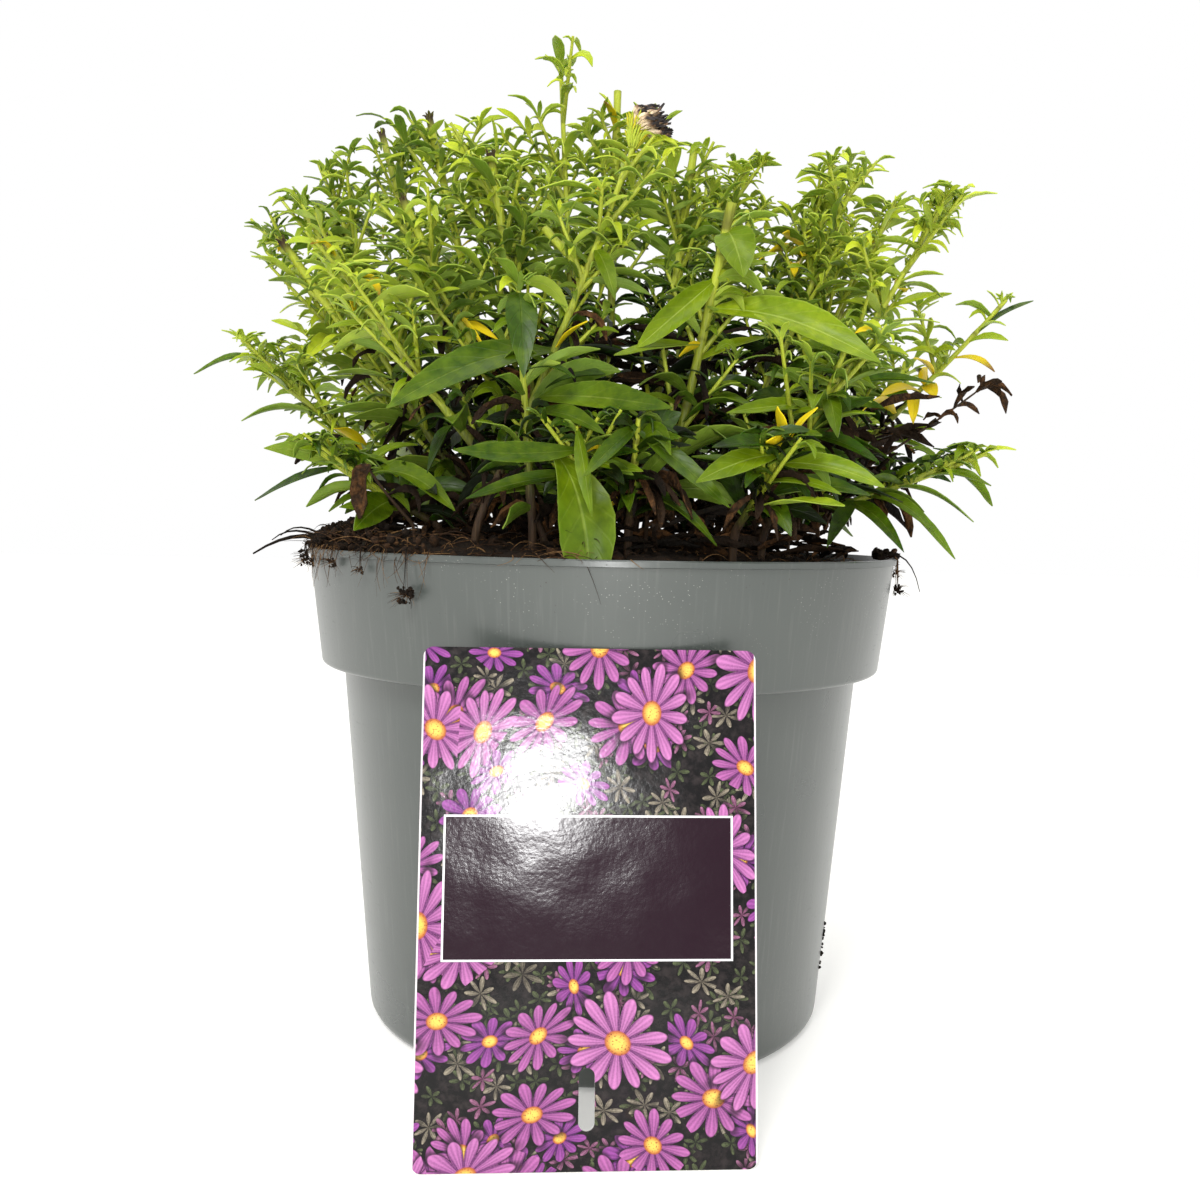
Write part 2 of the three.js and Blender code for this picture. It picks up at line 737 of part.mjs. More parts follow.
function makeSoil() {
  const roll = dice(501);
  const inner = BASE.raised + POT.floorThickness;
  const collarFoot = POT.height - POT.collarHeight + POT.wall;
  const clear = POT.wall + GAP;
  const circle = (radius, heightAt) =>
    Array.from({ length: SOIL.sides }, (_, i) => {
      const angle = (2 * Math.PI * i) / SOIL.sides;
      const z = heightAt(angle);
      return point(radius * Math.cos(angle), radius * Math.sin(angle), z);
    });
  // Its corners keep inside the flats of the pot's wall.
  const flats = Math.cos(Math.PI / POT.sides);
  const level = (radius, z) => circle((radius - clear) * flats, () => z);
  const heaped = (radius) =>
    circle(radius, (angle) => soilHeight(radius, angle, roll));
  const rings = [
    level(bodyRadiusAt(inner) - 2, inner + GAP),
    level(bodyRadiusAt(inner + 2), inner + 2),
    level(POT.bodyTopRadius, collarFoot - 0.5),
    level(POT.bodyTopRadius, collarFoot + GAP),
    level(POT.collarFootRadius, collarFoot + GAP),
    level(collarRadiusAt(SOIL.edgeHeight), SOIL.edgeHeight),
    ...[...SOIL.rings].reverse().map(heaped),
  ];
  const bottom = point(0, 0, inner + GAP);
  const top = point(0, 0, SOIL.heapHeight);
  let soil = solidOf(loft(bottom, rings, top));
  const holeSides = 5;
  const holeRadius = (PLANT.footRadius + GAP) / Math.cos(Math.PI / holeSides);
  const depth = 2 * (PLANT.stemFree - PLANT.stemBottom);
  for (const { points: [foot] } of [...stems, ...withered]) {
    const drill = new THREE.CylinderGeometry(
      holeRadius, holeRadius, depth, holeSides,
    );
    drill.rotateX(Math.PI / 2);
    drill.translate(foot.x, foot.y, foot.z - GAP + depth / 2);
    soil = soil.subtract(solidOf(drill));
  }
  addPart('soil', geometryOf(soil), COLOURS.soilBrown, 0.95);
}

// The dry seed head on the flowering stem: a domed receptacle set round with
// stiff bristles
const HEAD = {
  radius: 3.2,
  height: 5.1,
  profile: [[0, 0.7], [0.35, 1], [0.8, 0.7]],
  sides: 8,
  bristles: 18,
  reach: 6.5,
  bristleRadius: 0.55,
  widest: 1.35,
};

function makeSeedHead() {
  const axis = flowering.tangent(1);
  const across = new THREE.Vector3().crossVectors(axis, UP).normalize();
  const seat = along(flowering.at(1), axis, GAP);
  const rings = HEAD.profile.map(([height, width]) => {
    const centre = along(seat, axis, height * HEAD.height);
    return ringAround(centre, axis, across, width * HEAD.radius, HEAD.sides);
  });
  const pieces = [loft(seat, rings, along(seat, axis, HEAD.height))];
  const heart = along(seat, axis, 0.5 * HEAD.height);
  const roll = dice(701);
  for (let i = 0; i < HEAD.bristles; i++) {
    const spread = HEAD.widest * Math.sqrt((i + 0.5) / HEAD.bristles);
    const way = axis.clone().applyAxisAngle(across, spread);
    way.applyAxisAngle(axis, i * GOLDEN_ANGLE);
    const reach = HEAD.reach * roll(0.85, 1.1);
    const waist = along(heart, way, 0.6 * reach);
    const ring = ringAround(waist, way, UP, HEAD.bristleRadius, 3);
    pieces.push(loft(along(heart, way, 0.1 * reach), [ring], along(heart, way, reach)));
  }
  addPart('seed_head', geometryOf(joinAll(pieces)), COLOURS.flowerHead, 0.9);
}

makePot();
makeLabel();
makeSoil();
stems.forEach((stem, i) => {
  const color = i % 2 ? COLOURS.leafGreen : COLOURS.leafLight;
  addPart(stem.owner, fuse(stem), color, 0.6);
});
withered.forEach((stem) => {
  addPart(stem.owner, fuse(stem), COLOURS.witheredBrown, 0.9);
});
makeSeedHead();

export default part;
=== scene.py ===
import math
from functools import cache, partial
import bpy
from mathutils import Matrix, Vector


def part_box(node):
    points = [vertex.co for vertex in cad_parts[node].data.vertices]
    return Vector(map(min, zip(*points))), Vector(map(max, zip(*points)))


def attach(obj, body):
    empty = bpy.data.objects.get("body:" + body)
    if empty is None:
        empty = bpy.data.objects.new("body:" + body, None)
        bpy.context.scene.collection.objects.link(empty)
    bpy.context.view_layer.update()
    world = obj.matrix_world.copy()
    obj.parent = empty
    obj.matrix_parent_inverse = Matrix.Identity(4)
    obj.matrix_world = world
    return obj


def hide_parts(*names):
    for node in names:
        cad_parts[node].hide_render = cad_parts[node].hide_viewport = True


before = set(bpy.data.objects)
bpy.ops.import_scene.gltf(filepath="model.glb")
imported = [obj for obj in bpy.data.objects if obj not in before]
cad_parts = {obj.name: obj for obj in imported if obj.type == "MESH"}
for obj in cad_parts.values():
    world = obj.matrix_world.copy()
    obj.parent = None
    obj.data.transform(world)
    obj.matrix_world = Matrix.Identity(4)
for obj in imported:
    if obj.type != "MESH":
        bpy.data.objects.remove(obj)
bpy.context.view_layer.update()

from types import SimpleNamespace

import bpy
import numpy as np
from bpy.props import FloatProperty, FloatVectorProperty, IntProperty, PointerProperty
from mathutils import Euler, Matrix, Vector

bl_info = {
    "name": "Potted purple aster",
    "version": (1, 0, 0),
    "blender": (4, 5, 0),
    "location": "View3D > Sidebar > Aster",
    "description": "Dresses the frame of a dwarf aster in its grey nursery pot",
    "category": "Add Mesh",
}

# Colours are written as sRGB from 0 to 255 and kept as linear light.


def linear(*srgb):
    """An sRGB colour from 0 to 255 as linear red, green, blue."""
    shares = [channel / 255 for channel in srgb]
    return tuple(
        s / 12.92 if s <= 0.04045 else ((s + 0.055) / 1.055) ** 2.4 for s in shares
    )


MM = 0.001
UP = np.array([0.0, 0.0, 1.0])
FRONT = np.array([0.0, -1.0, 0.0])
ROOT = "root"

# Pot, in metres. Its rim and height come from the frame.
_, POT_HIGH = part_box("pot")
POT = SimpleNamespace(
    lip_height=0.002,
    lip_stands_out=0.0008,
    collar_height=0.036,
    collar_foot_radius=0.0904,
    body_top_radius=0.0834,
    body_top_below=0.0006,
    foot_radius=0.0739,
    foot_rounding=0.004,
    corner_radius=0.0014,
    lip_bevel=0.0004,
    lip_step=0.0002,
    floor_thickness=0.002,
    sides=144,
)
BASE = SimpleNamespace(
    disc_radius=0.020,
    ring_inner=0.066,
    raised=0.003,
    slope=0.003,
    holes=8,
    hole_radius=0.0045,
    hole_circle=0.048,
)
LABEL = SimpleNamespace(
    thickness=0.0006,
    corner=0.0025,
    slot_width=0.004,
    slot_length=0.015,
    slot_centre=0.017,
    slot_rounding=0.499,
    slot_cutter=0.01,
    lean=0.173,
    turn=0.067,
    offset=-0.0086,
)
GAP = 0.0003

# Soil, in metres
SOIL = SimpleNamespace(
    edge_height=0.1465,
    heap_height=0.151,
    left_heap=0.002,
    full_radius=0.092,
)

# The growing rule of the plant, in millimetres. It is the frame's own rule, so
# each fine stem stands where its solid does.
PLANT = SimpleNamespace(
    stem_bottom=139,
    stem_free=156,
    foot_spread=0.38,
    foot_radius=1.9,
    cut_top_radius=1.5,
    growing_top_radius=0.8,
    tip_leaf_reach=6,
    shoot_radius=0.8,
    clearance=0.35,
    stem_clearance=1,
    lowest_leaf=155,
    rim_radius=95,
    control_shift=0.5,
    control_rise=0.42,
)
CROWN = SimpleNamespace(foot=171, rise=140, radius=160, widest=126, past_tip=3)
CUT_STEM = SimpleNamespace(shoots=2, large_leaves=4, upper_leaves=4)
GROWING_STEM = SimpleNamespace(shoots=1, large_leaves=4, upper_leaves=5)
LOW_STEM = SimpleNamespace(shoots=0, large_leaves=1, upper_leaves=3)
LEAVES_PER_SHOOT = 3
WITHERED_LEAVES = 6
GOLDEN_ANGLE = 2.39996
# Where each series of draws starts
SEEDS = SimpleNamespace(
    stems=1,
    withered=101,
    soil=502,
    soil_crumbs=503,
    overhang=504,
    overhang_crumbs=505,
    head=701,
    more_shoots=1001,
    leaves_along=2001,
    tip_leaves=3001,
    hanging=4001,
    curled=4501,
    tones=5001,
    rings=6001,
    torn_tops=6301,
    fallen=7001,
)
TRIES = 10
TRY_TURN = 0.7
TRY_SHORTER = 0.04
CAPSULE_LENGTH = 14
LEAF_STALK = 0.12  # the share of a leaf that is stalk
# Leaves on a stem: where the lowest one stands, how far they spread, and their
# scale, as shares of the stem's length
STEM_LEAVES = SimpleNamespace(low=(0.16, 0.3), spread=0.6, scale=1.1, shrink=0.45)
ARCH_AT = 0.45  # where a placed leaf arches most, as a share of it
OPEN_FRONT = (8, 16)
HEAD_ROOM = 8
NOBODY = -1
STEM_SHARES = (0, 0.35, 0.7, 1)
TRAITS = ("cut", "flower", "low", "sparse", "dense")

# Side shoots: where they start, as shares of the stem, and how they slant
FIRST_SHOOTS = SimpleNamespace(low=0.55, high=0.92, shortest=20, longest=36)
MORE_SHOOTS = SimpleNamespace(low=0.5, high=0.98, shortest=12, longest=30)
LOW_SHOOTS = SimpleNamespace(low=0.15, high=0.5, shortest=22, longest=46)
SHOOT_FOLLOW = 0.9
SHOOT_LIFT = 0.6


def leaf_kind(form, length, width, rise, droop, roll):
    """Ranges for one kind of leaf: lengths, widths as a share of length, angles."""
    return SimpleNamespace(
        form=form, length=length, width=width, rise=rise, droop=droop, roll=roll
    )


LARGE_LEAF = leaf_kind("large", (24, 38), (0.17, 0.24), (0.1, 0.7), (0.1, 0.8), 0.7)
DEAD_LEAF = leaf_kind("dead", (24, 38), (0.17, 0.24), (-0.3, 0.3), (0.9, 1.4), 0.7)
SMALL_LEAF = leaf_kind("small", (12, 18), (0.22, 0.28), (0.4, 0.9), (-0.1, 0.6), 0.5)
LOWER_LEAF = leaf_kind("medium", (20, 34), (0.17, 0.25), (0.0, 0.9), (0.1, 1.3), 1.4)
MEDIUM_LEAF = leaf_kind("medium", (14, 26), (0.14, 0.22), (0.1, 1.2), (-0.4, 1.3), 1.4)
UPPER_LEAF = leaf_kind("small", (9, 17), (0.14, 0.22), (0.3, 1.3), (-0.3, 1.5), 1.3)
SHOOT_LEAF = leaf_kind("small", (7, 15), (0.14, 0.22), (0.3, 1.3), (-0.3, 1.5), 1.3)
BUD_LEAF = leaf_kind("bud", (4, 9), (0.2, 0.3), (0.8, 1.3), (-0.9, 0.8), 0.6)
HANGING_LEAF = leaf_kind("dead", (9, 24), (0.14, 0.3), (-0.8, 0.5), (0.8, 1.5), 1.5)
CURLED_LEAF = leaf_kind("dead", (7, 16), (0.2, 0.35), (0.2, 1.2), (-0.6, 1.4), 1.5)

# Where each leafy stem ends. Cut stems were clipped after flowering.
STEMS = (
    dict(tip=(-123, -5, 219)),
    dict(tip=(-116, 12, 259)),
    dict(tip=(-97, -25, 259)),
    dict(tip=(-103, 24, 285), dense=True),
    dict(tip=(-82, 40, 296), cut=True, dense=True),
    dict(tip=(-61, 12, 293), cut=True, dense=True),
    dict(tip=(-60, -45, 251), cut=True, foot=(-8, -42)),
    dict(tip=(-81, -52, 237), cut=True, foot=(-16, -54)),
    dict(tip=(-103, -15, 245), cut=True, foot=(-32, -12)),
    dict(tip=(-36, -32, 268), cut=True, dense=True),
    dict(tip=(-17, 0, 310), sparse=True),
    dict(tip=(2, 17, 304), cut=True, dense=True),
    dict(tip=(7, -62, 264), flower=True, foot=(-36, -64)),
    dict(tip=(27, -4, 280), cut=True, dense=True),
    dict(tip=(46, 16, 284), dense=True),
    dict(tip=(34, -58, 248), cut=True, foot=(15, -48)),
    dict(tip=(77, 24, 283), cut=True, dense=True),
    dict(tip=(81, -6, 276), dense=True),
    dict(tip=(97, 8, 271), dense=True),
    dict(tip=(103, -30, 259), dense=True),
    dict(tip=(138, 10, 240), sparse=True),
    dict(tip=(122, -32, 184)),
    dict(tip=(49, -88, 184), foot=(36, -66)),
    dict(tip=(67, -74, 214), foot=(46, -50)),
    dict(tip=(-9, -86, 188), foot=(1, -61)),
    dict(tip=(-45, -4, 284), dense=True),
    dict(tip=(-91, -50, 182), foot=(-48, -36)),
    # towards the back
    dict(tip=(-110, 60, 250)),
    dict(tip=(-72, 84, 264), cut=True),
    dict(tip=(-22, 58, 296), cut=True, dense=True),
    dict(tip=(-18, 98, 262)),
    dict(tip=(38, 66, 290), cut=True, dense=True),
    dict(tip=(50, 100, 256)),
    dict(tip=(88, 62, 270), cut=True, dense=True),
    dict(tip=(122, 50, 230)),
    dict(tip=(-104, 86, 210), foot=(-46, 44)),
    dict(tip=(-56, 112, 206), foot=(-24, 58)),
    dict(tip=(6, 124, 208), foot=(4, 62)),
    dict(tip=(64, 112, 206), foot=(30, 58)),
    dict(tip=(108, 84, 206), foot=(52, 40)),
    # low at the front
    dict(tip=(-24, -78, 226), foot=(-19, -72), low=True),
    dict(tip=(9, -86, 191), foot=(7, -66), low=True),
)
WITHERED = (
    dict(tip=(126, -12, 208), foot=(50, -12)),
    dict(tip=(-70, -64, 178), foot=(-54, -52)),
    dict(tip=(64, -54, 192), foot=(56, -36)),
    dict(tip=(12, -78, 178), foot=(10, -64)),
    dict(tip=(-44, 74, 186), foot=(-36, 48)),
)
# The large leaves that show most: stem counted from 1, share of the stem's
# length, tip, width, roll, arch as a share of the length, and tone from 0,
# dark, to 1, lime
NAMED_LEAVES = (
    (16, 0.72, (72, -80, 202), 12.5, 0.9, 0.14, 0.95),
    (16, 0.8, (8, -76, 205), 9, -1.1, 0, 0.85),
    (16, 0.62, (2, -84, 202), 4.5, -0.5, 0.05, 0.9),
    (16, 0.93, (37, -66, 226), 12, 0.5, 0.3, 0.75),
    (41, 0.98, (-21, -90, 195), 8.5, 0.1, 0.35, 0.3),
    (13, 0.38, (17, -90, 188), 9, 1.1, 0.05, 0.5),
    (13, 0.33, (0, -89, 181), 6, 0.6, 0.16, 0.35),
    (13, 0.5, (-57, -84, 187), 11, -0.9, 0.16, 0.4),
    (25, 0.8, (-38, -96, 176), 6.5, -1.1, -0.06, 0.3),
    (25, 0.8, (-2, -90, 148.2), 17, 0.3, 0.12, 0.6),
    (25, 0.98, (-3, -97, 160), 4.5, 0.9, 0.1, 0.45),
    (42, 0.9, (32, -93, 163), 5.5, 0.9, 0.05, 0.3),
    (42, 0.95, (-5, -97, 170), 5, -0.8, 0.05, 0.3),
    (42, 0.85, (20, -79, 188), 7.5, 1.1, 0, 0.2),
    (23, 0.9, (23, -98, 169), 7, -0.9, 0.1, 0.7),
    (23, 0.8, (71, -94, 169), 7, 0.9, 0.14, 0.85),
    (22, 0.45, (63, -62, 153), 5, -0.4, 0.1, 0.25),
    (27, 0.35, (-68, -70, 155), 9, -0.9, 0.1, 0.45),
    (27, 0.75, (-104, -40, 163), 5, -0.6, 0.1, 0.3),
    (1, 0.92, (-134, -5, 204), 5, -0.4, 0.16, 0.4),
    (21, 0.85, (143, 10, 236), 3.5, 0.4, 0.16, 0.35),
    (22, 0.85, (118, -34, 166), 6, 0.4, 0.16, 0.75),
    (22, 0.55, (105, -42, 150), 5, 0.3, 0.16, 0.7),
)
# Smaller leaves among them, which the solids leave out
FINE_NAMED_LEAVES = (
    (13, 0.75, (2, -74, 218), 5, 0.3, 0.2, 0.6),
    (8, 0.4, (-48, -72, 171), 4.5, 0.2, 0.3, 0.15),
    (27, 0.6, (-41, -66, 161), 8, 0.6, 0.3, 0.6),
    (25, 0.55, (-36, -84, 164), 5, -0.9, 0.1, 0.3),
    (23, 0.98, (27, -96, 178), 5, -0.8, 0.1, 0.1),
    (24, 0.7, (32, -80, 188), 5, -0.9, 0.05, 0.7),
    (24, 0.55, (73, -78, 176), 4.5, 0.8, 0.12, 0.2),
    (24, 0.75, (61, -82, 182), 5, 0.3, 0.2, 0.5),
    (23, 0.95, (30, -84, 176), 4, -0.4, 0.1, 0.1),
    (42, 0.3, (30, -84, 153), 4.5, 0.4, 0.35, 0.3),
    (23, 0.6, (60, -94, 167), 3.5, 0.6, 0.15, 0.7),
    (7, 0.45, (-31, -62, 183), 5, 0.2, 0.2, 0.75),
    (25, 0.7, (10, -88, 172), 4.5, 0.8, 0, 0.6),
    (22, 0.5, (97, -47, 158), 5, 0.5, 0.2, 0.45),
    (22, 0.62, (110, -42, 161), 4.5, -0.4, 0.2, 0.6),
    (22, 0.4, (86, -56, 152), 5, 0.6, 0.2, 0.35),
    (22, 0.72, (116, -38, 172), 4.5, 0.3, 0.2, 0.65),
    (20, 0.4, (82, -42, 194), 6, 0.7, 0.2, 0.25),
    (20, 0.46, (98, -38, 202), 5.5, 0.5, 0.2, 0.35),
    (20, 0.34, (84, -50, 178), 6, -0.5, 0.15, 0.2),
    (18, 0.42, (66, -42, 206), 6, 0.8, 0.2, 0.2),
    (20, 0.3, (70, -54, 170), 6, 0.8, 0.2, 0.15),
)
# Leaves that turn yellow: the same columns, with the age last
TURNED_LEAVES = (
    (21, 0.66, (106, -10, 201), 5, 0.4, 0.1, 0.7),
    (21, 0.64, (88, -12, 201), 5, -0.5, 0.1, 0.72),
    (21, 0.66, (101, -11, 210), 4, 0.8, 0.1, 0.65),
    (21, 0.62, (98, -14, 192), 5, 0.2, 0.2, 0.7),
    (21, 0.54, (80, -22, 195), 5, 0.6, 0.2, 0.6),
    (21, 0.7, (98, -12, 213), 4, -0.4, 0.1, 0.7),
    (20, 0.8, (92, -20, 232), 6, 0.8, 0.2, 0.65),
    (17, 0.78, (48, -2, 244), 5, 0.5, 0.2, 0.65),
    (17, 0.78, (63, -4, 246), 5, -0.6, 0.1, 0.7),
    (17, 0.8, (56, -4, 253), 4, 0.9, 0.1, 0.6),
    (17, 0.75, (60, -6, 239), 5, 0.3, 0.2, 0.6),
    (16, 0.62, (20, -62, 205), 3.5, 0.9, 0.1, 0.7),
    (7, 0.68, (-31, -52, 210), 2.6, 0.9, 0.05, 0.65),
    (7, 0.7, (-35, -50, 208), 2.6, -0.9, 0.05, 0.7),
    (23, 0.97, (41, -91, 180), 4.5, 0.5, 0.2, 0.55),
    (23, 0.98, (44, -90, 189), 4.5, -0.6, 0.1, 0.5),
    (23, 0.99, (54, -90, 189), 4, 0.7, 0.1, 0.45),
    (1, 0.4, (-84, -24, 186), 4, 0.5, 0.2, 0.7),
)
# Brown leaves on the withered stems: the same columns without the tone
BROWN_LEAVES = (
    (2, 0.99, (-67, -66, 158), 9, 0.2, 0.3),
    (3, 0.95, (34, -74, 177), 6, 0.5, 0.2),
    (3, 0.7, (42, -80, 164), 6, -0.5, 0.3),
    (3, 0.5, (58, -76, 156), 8, 0.6, 0.3),
    (4, 0.9, (24, -84, 160), 7, -0.4, 0.3),
    (1, 0.99, (128, -14, 196), 6, 0.4, 0.4),
    (1, 0.98, (130, -12, 202), 5, -0.7, 0.3),
)
# Side shoots placed one by one: stem, share of its length, and end
PLACED_SHOOTS = (
    (11, 0.74, (-27, -5, 283)),
    (11, 0.7, (-34, -14, 279)),
    (11, 0.78, (-23, -10, 286)),
    (10, 0.8, (-26, -40, 262)),
    (15, 0.75, (30, 4, 282)),
)
# Places at the seed head and the crown's outline that stay open: middle, radius
OPEN_PLACES = (
    (9, -75, 262, 8.5),
    (18, -72, 265, 8.5),
    (118, -36, 254, 13),
    (66, 2, 286, 9),
    (-70, 6, 300, 8),
)
# Stems that show from the front, and the share of them that does
SHOWN_STEMS = (7, 8, 9, 13, 16, 24)
SHOWN_SHARES = (0.35, 0.55, 0.75, 0.95)
SHOWN_RADIUS = 2.6
# Cut stems whose tops are torn and brown
TORN_STEMS = (5, 6, 7, 8, 9, 10)
# Short stubs of side stems: stem, share of its length, and tip
STUBS = (
    (12, 0.93, (15, 10, 297)),
    (13, 0.69, (-18, -58, 240)),
    (16, 0.93, (39, -56, 246)),
)


# Settings


def length(name, description, default):
    """A length in metres that a user may change."""
    return FloatProperty(
        name=name, description=description, default=default, min=0.0, unit="LENGTH"
    )


def colour(name, description, *srgb):
    """A colour that a user may change, written as sRGB from 0 to 255."""
    return FloatVectorProperty(
        name=name, description=description, default=linear(*srgb), subtype="COLOR"
    )


def number(name, description, default, least=0):
    """A number of things that a user may change."""
    return IntProperty(name=name, description=description, default=default, min=least)


class PotSettings(bpy.types.PropertyGroup):
    """The grey nursery pot."""

    rim_radius: length("Rim radius", "Outer radius of the rim", POT_HIGH.x)
    height: length("Height", "Height of the pot", POT_HIGH.z)
    wall: length("Wall", "Thickness of the wall", 0.0013)
    plastic: colour("Plastic", "Colour of the plastic", 56, 61, 59)


class LabelSettings(bpy.types.PropertyGroup):
    """The printed card that leans on the pot."""

    width: length("Width", "Width of the card", 0.085)
    height: length("Height", "Height of the card", 0.128)
    petals: colour("Petals", "Colour of the printed petals", 150, 80, 138)
    panel: colour("Panel", "Colour of the plain panel", 28, 6, 20)


class SoilSettings(bpy.types.PropertyGroup):
    """The peat in the pot."""

    peat: colour("Peat", "Colour of the peat", 34, 25, 17)
    crumbs: number("Crumbs", "Loose crumbs on the peat", 540, least=1)
    fibres: number("Fibres", "Root fibres on the peat", 720, least=1)


class PlantSettings(bpy.types.PropertyGroup):
    """Stems and leaves."""

    dark: colour("Dark leaf", "Colour of the darkest leaves", 42, 64, 4)
    middle: colour("Leaf", "Colour of most leaves", 102, 122, 8)
    light: colour("Light leaf", "Colour of the lightest leaves", 182, 194, 44)
    yellow: colour("Yellow leaf", "Colour of leaves that turn", 204, 180, 24)
    stem: colour("Stem", "Colour of young stems", 160, 170, 48)
    dead: colour("Dead leaf", "Colour of dead leaves", 104, 70, 38)
    more_shoots: number("More shoots", "Shoots added to each stem", 8)
    hanging: number("Hanging leaves", "Dead leaves on each stem", 17, least=1)
    fallen: number("Fallen leaves", "Dead leaves on the peat", 400)
    caught: number("Caught leaves", "Dead leaves in the crown", 360)


class HeadSettings(bpy.types.PropertyGroup):
    """The dry flower head."""

    floret: colour("Floret", "Colour of the dry florets", 226, 206, 172)
    florets: number("Florets", "Number of dry florets", 96, least=8)


class StageSettings(bpy.types.PropertyGroup):
    """Floor, lights and camera."""

    floor: colour("Floor", "Colour of the floor", 236, 235, 232)
    lens: FloatProperty(
        name="Lens",
        description="Focal length of the camera",
        default=36.0,
        min=1.0,
        unit="CAMERA",
    )
    sky: FloatProperty(
        name="Sky", description="Strength of the white surround", default=1.0, min=0.0
    )


# Selecting and finishing meshes

LEVEL_WITHIN = 0.001  # an edge that rises less than this is level


def deselect():
    """Leaves nothing selected."""
    if bpy.context.object and bpy.context.object.mode != "OBJECT":
        bpy.ops.object.mode_set(mode="OBJECT")
    bpy.ops.object.select_all(action="DESELECT")


def activate(piece):
    """Makes a piece the only selected and the active one."""
    deselect()
    piece.select_set(True)
    bpy.context.view_layer.objects.active = piece


def edit(piece, wanted=lambda place: True):
    """Enters edit mode with the vertices selected for which wanted(place) holds."""
    bpy.ops.object.mode_set(mode="OBJECT")
    mesh = piece.data
    mesh.polygons.foreach_set("select", [False] * len(mesh.polygons))
    mesh.edges.foreach_set("select", [False] * len(mesh.edges))
    mesh.vertices.foreach_set("select", [bool(wanted(v.co)) for v in mesh.vertices])
    bpy.ops.object.mode_set(mode="EDIT")
    bpy.ops.mesh.select_mode(type="VERT")


def mesh_in_object_mode(piece):
    """The piece's mesh, with edit mode left."""
    bpy.ops.object.mode_set(mode="OBJECT")
    return piece.data


def edit_upright_edges(piece, operator, **settings):
    """Runs an edit mode operator on the edges that run upwards."""
    mesh = mesh_in_object_mode(piece)
    mesh.vertices.foreach_set("select", [False] * len(mesh.vertices))
    mesh.polygons.foreach_set("select", [False] * len(mesh.polygons))
    heights = [v.co.z for v in mesh.vertices]
    for edge in mesh.edges:
        one, other = edge.vertices
        edge.select = abs(heights[one] - heights[other]) > LEVEL_WITHIN
    bpy.context.tool_settings.mesh_select_mode = (False, True, False)
    bpy.ops.object.mode_set(mode="EDIT")
    operator(**settings)
    bpy.ops.object.mode_set(mode="OBJECT")
    bpy.context.tool_settings.mesh_select_mode = (True, False, False)


def modify(piece, kind, **settings):
    """Adds a modifier with its settings and applies it."""
    activate(piece)
    modifier = piece.modifiers.new(kind.title(), kind)
    for name, value in settings.items():
        setattr(modifier, name, value)
    bpy.ops.object.modifier_apply(modifier=modifier.name)


def close_up(piece, gap=1e-6):
    """Merges doubled points and turns all faces outwards."""
    edit(piece)
    bpy.ops.mesh.remove_doubles(threshold=gap)
    bpy.ops.mesh.normals_make_consistent(inside=False)
    bpy.ops.object.mode_set(mode="OBJECT")


def settle(piece):
    """Puts the piece's place and turn into its mesh."""
    activate(piece)
    bpy.ops.object.transform_apply(location=True, rotation=True, scale=True)


def smooth(piece, degrees):
    """Shades a piece smooth, with edges sharper than the angle kept."""
    activate(piece)
    bpy.ops.object.shade_smooth_by_angle(angle=math.radians(degrees))


def hand_over(piece, nodes, finishes):
    """Gives the piece its materials, hangs it under the root and hides the nodes that it
    stands for.
    """
    for finish in finishes:
        piece.data.materials.append(finish)
    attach(piece, ROOT)
    if nodes:
        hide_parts(*nodes)


def remove(*objects):
    """Deletes helper objects."""
    for thing in objects:
        bpy.data.objects.remove(thing)


# Materials


class Wire:
    """A node's output, on which sums are written as Python expressions."""

    def __init__(self, finish, socket):
        self.finish = finish
        self.socket = socket

    def math(self, operation, *others, first=None):
        """A Math node on this wire, or with another value as its first input."""
        values = [self, *others] if first is None else [first, self, *others]
        inputs = dict(enumerate(values))
        node = self.finish.node("ShaderNodeMath", {"operation": operation}, inputs)
        return Wire(self.finish, node.outputs[0])

    def __add__(self, other):
        return self.math("ADD", other)

    def __radd__(self, other):
        return self.math("ADD", first=other)

    def __sub__(self, other):
        return self.math("SUBTRACT", other)

    def __rsub__(self, other):
        return self.math("SUBTRACT", first=other)

    def __mul__(self, other):
        return self.math("MULTIPLY", other)

    def __rmul__(self, other):
        return self.math("MULTIPLY", first=other)

    def __truediv__(self, other):
        return self.math("DIVIDE", other)

    def __pow__(self, other):
        return self.math("POWER", other)

    def __abs__(self):
        return self.math("ABSOLUTE")

    def sin(self):
        """The sine of this wire, in radians."""
        return self.math("SINE")

    def cos(self):
        """The cosine of this wire, in radians."""
        return self.math("COSINE")

    def least(self, other):
        """The smaller of this wire and another value."""
        return self.math("MINIMUM", other)

    def most(self, other):
        """The larger of this wire and another value."""
        return self.math("MAXIMUM", other)

    def ramp(self, low, high, start=0.0, end=1.0):
        """This wire from low to high, eased to run from start to end."""
        settings = {"interpolation_type": "SMOOTHSTEP"}
        inputs = {0: self, 1: low, 2: high, 3: start, 4: end}
        node = self.finish.node("ShaderNodeMapRange", settings, inputs)
        return Wire(self.finish, node.outputs[0])


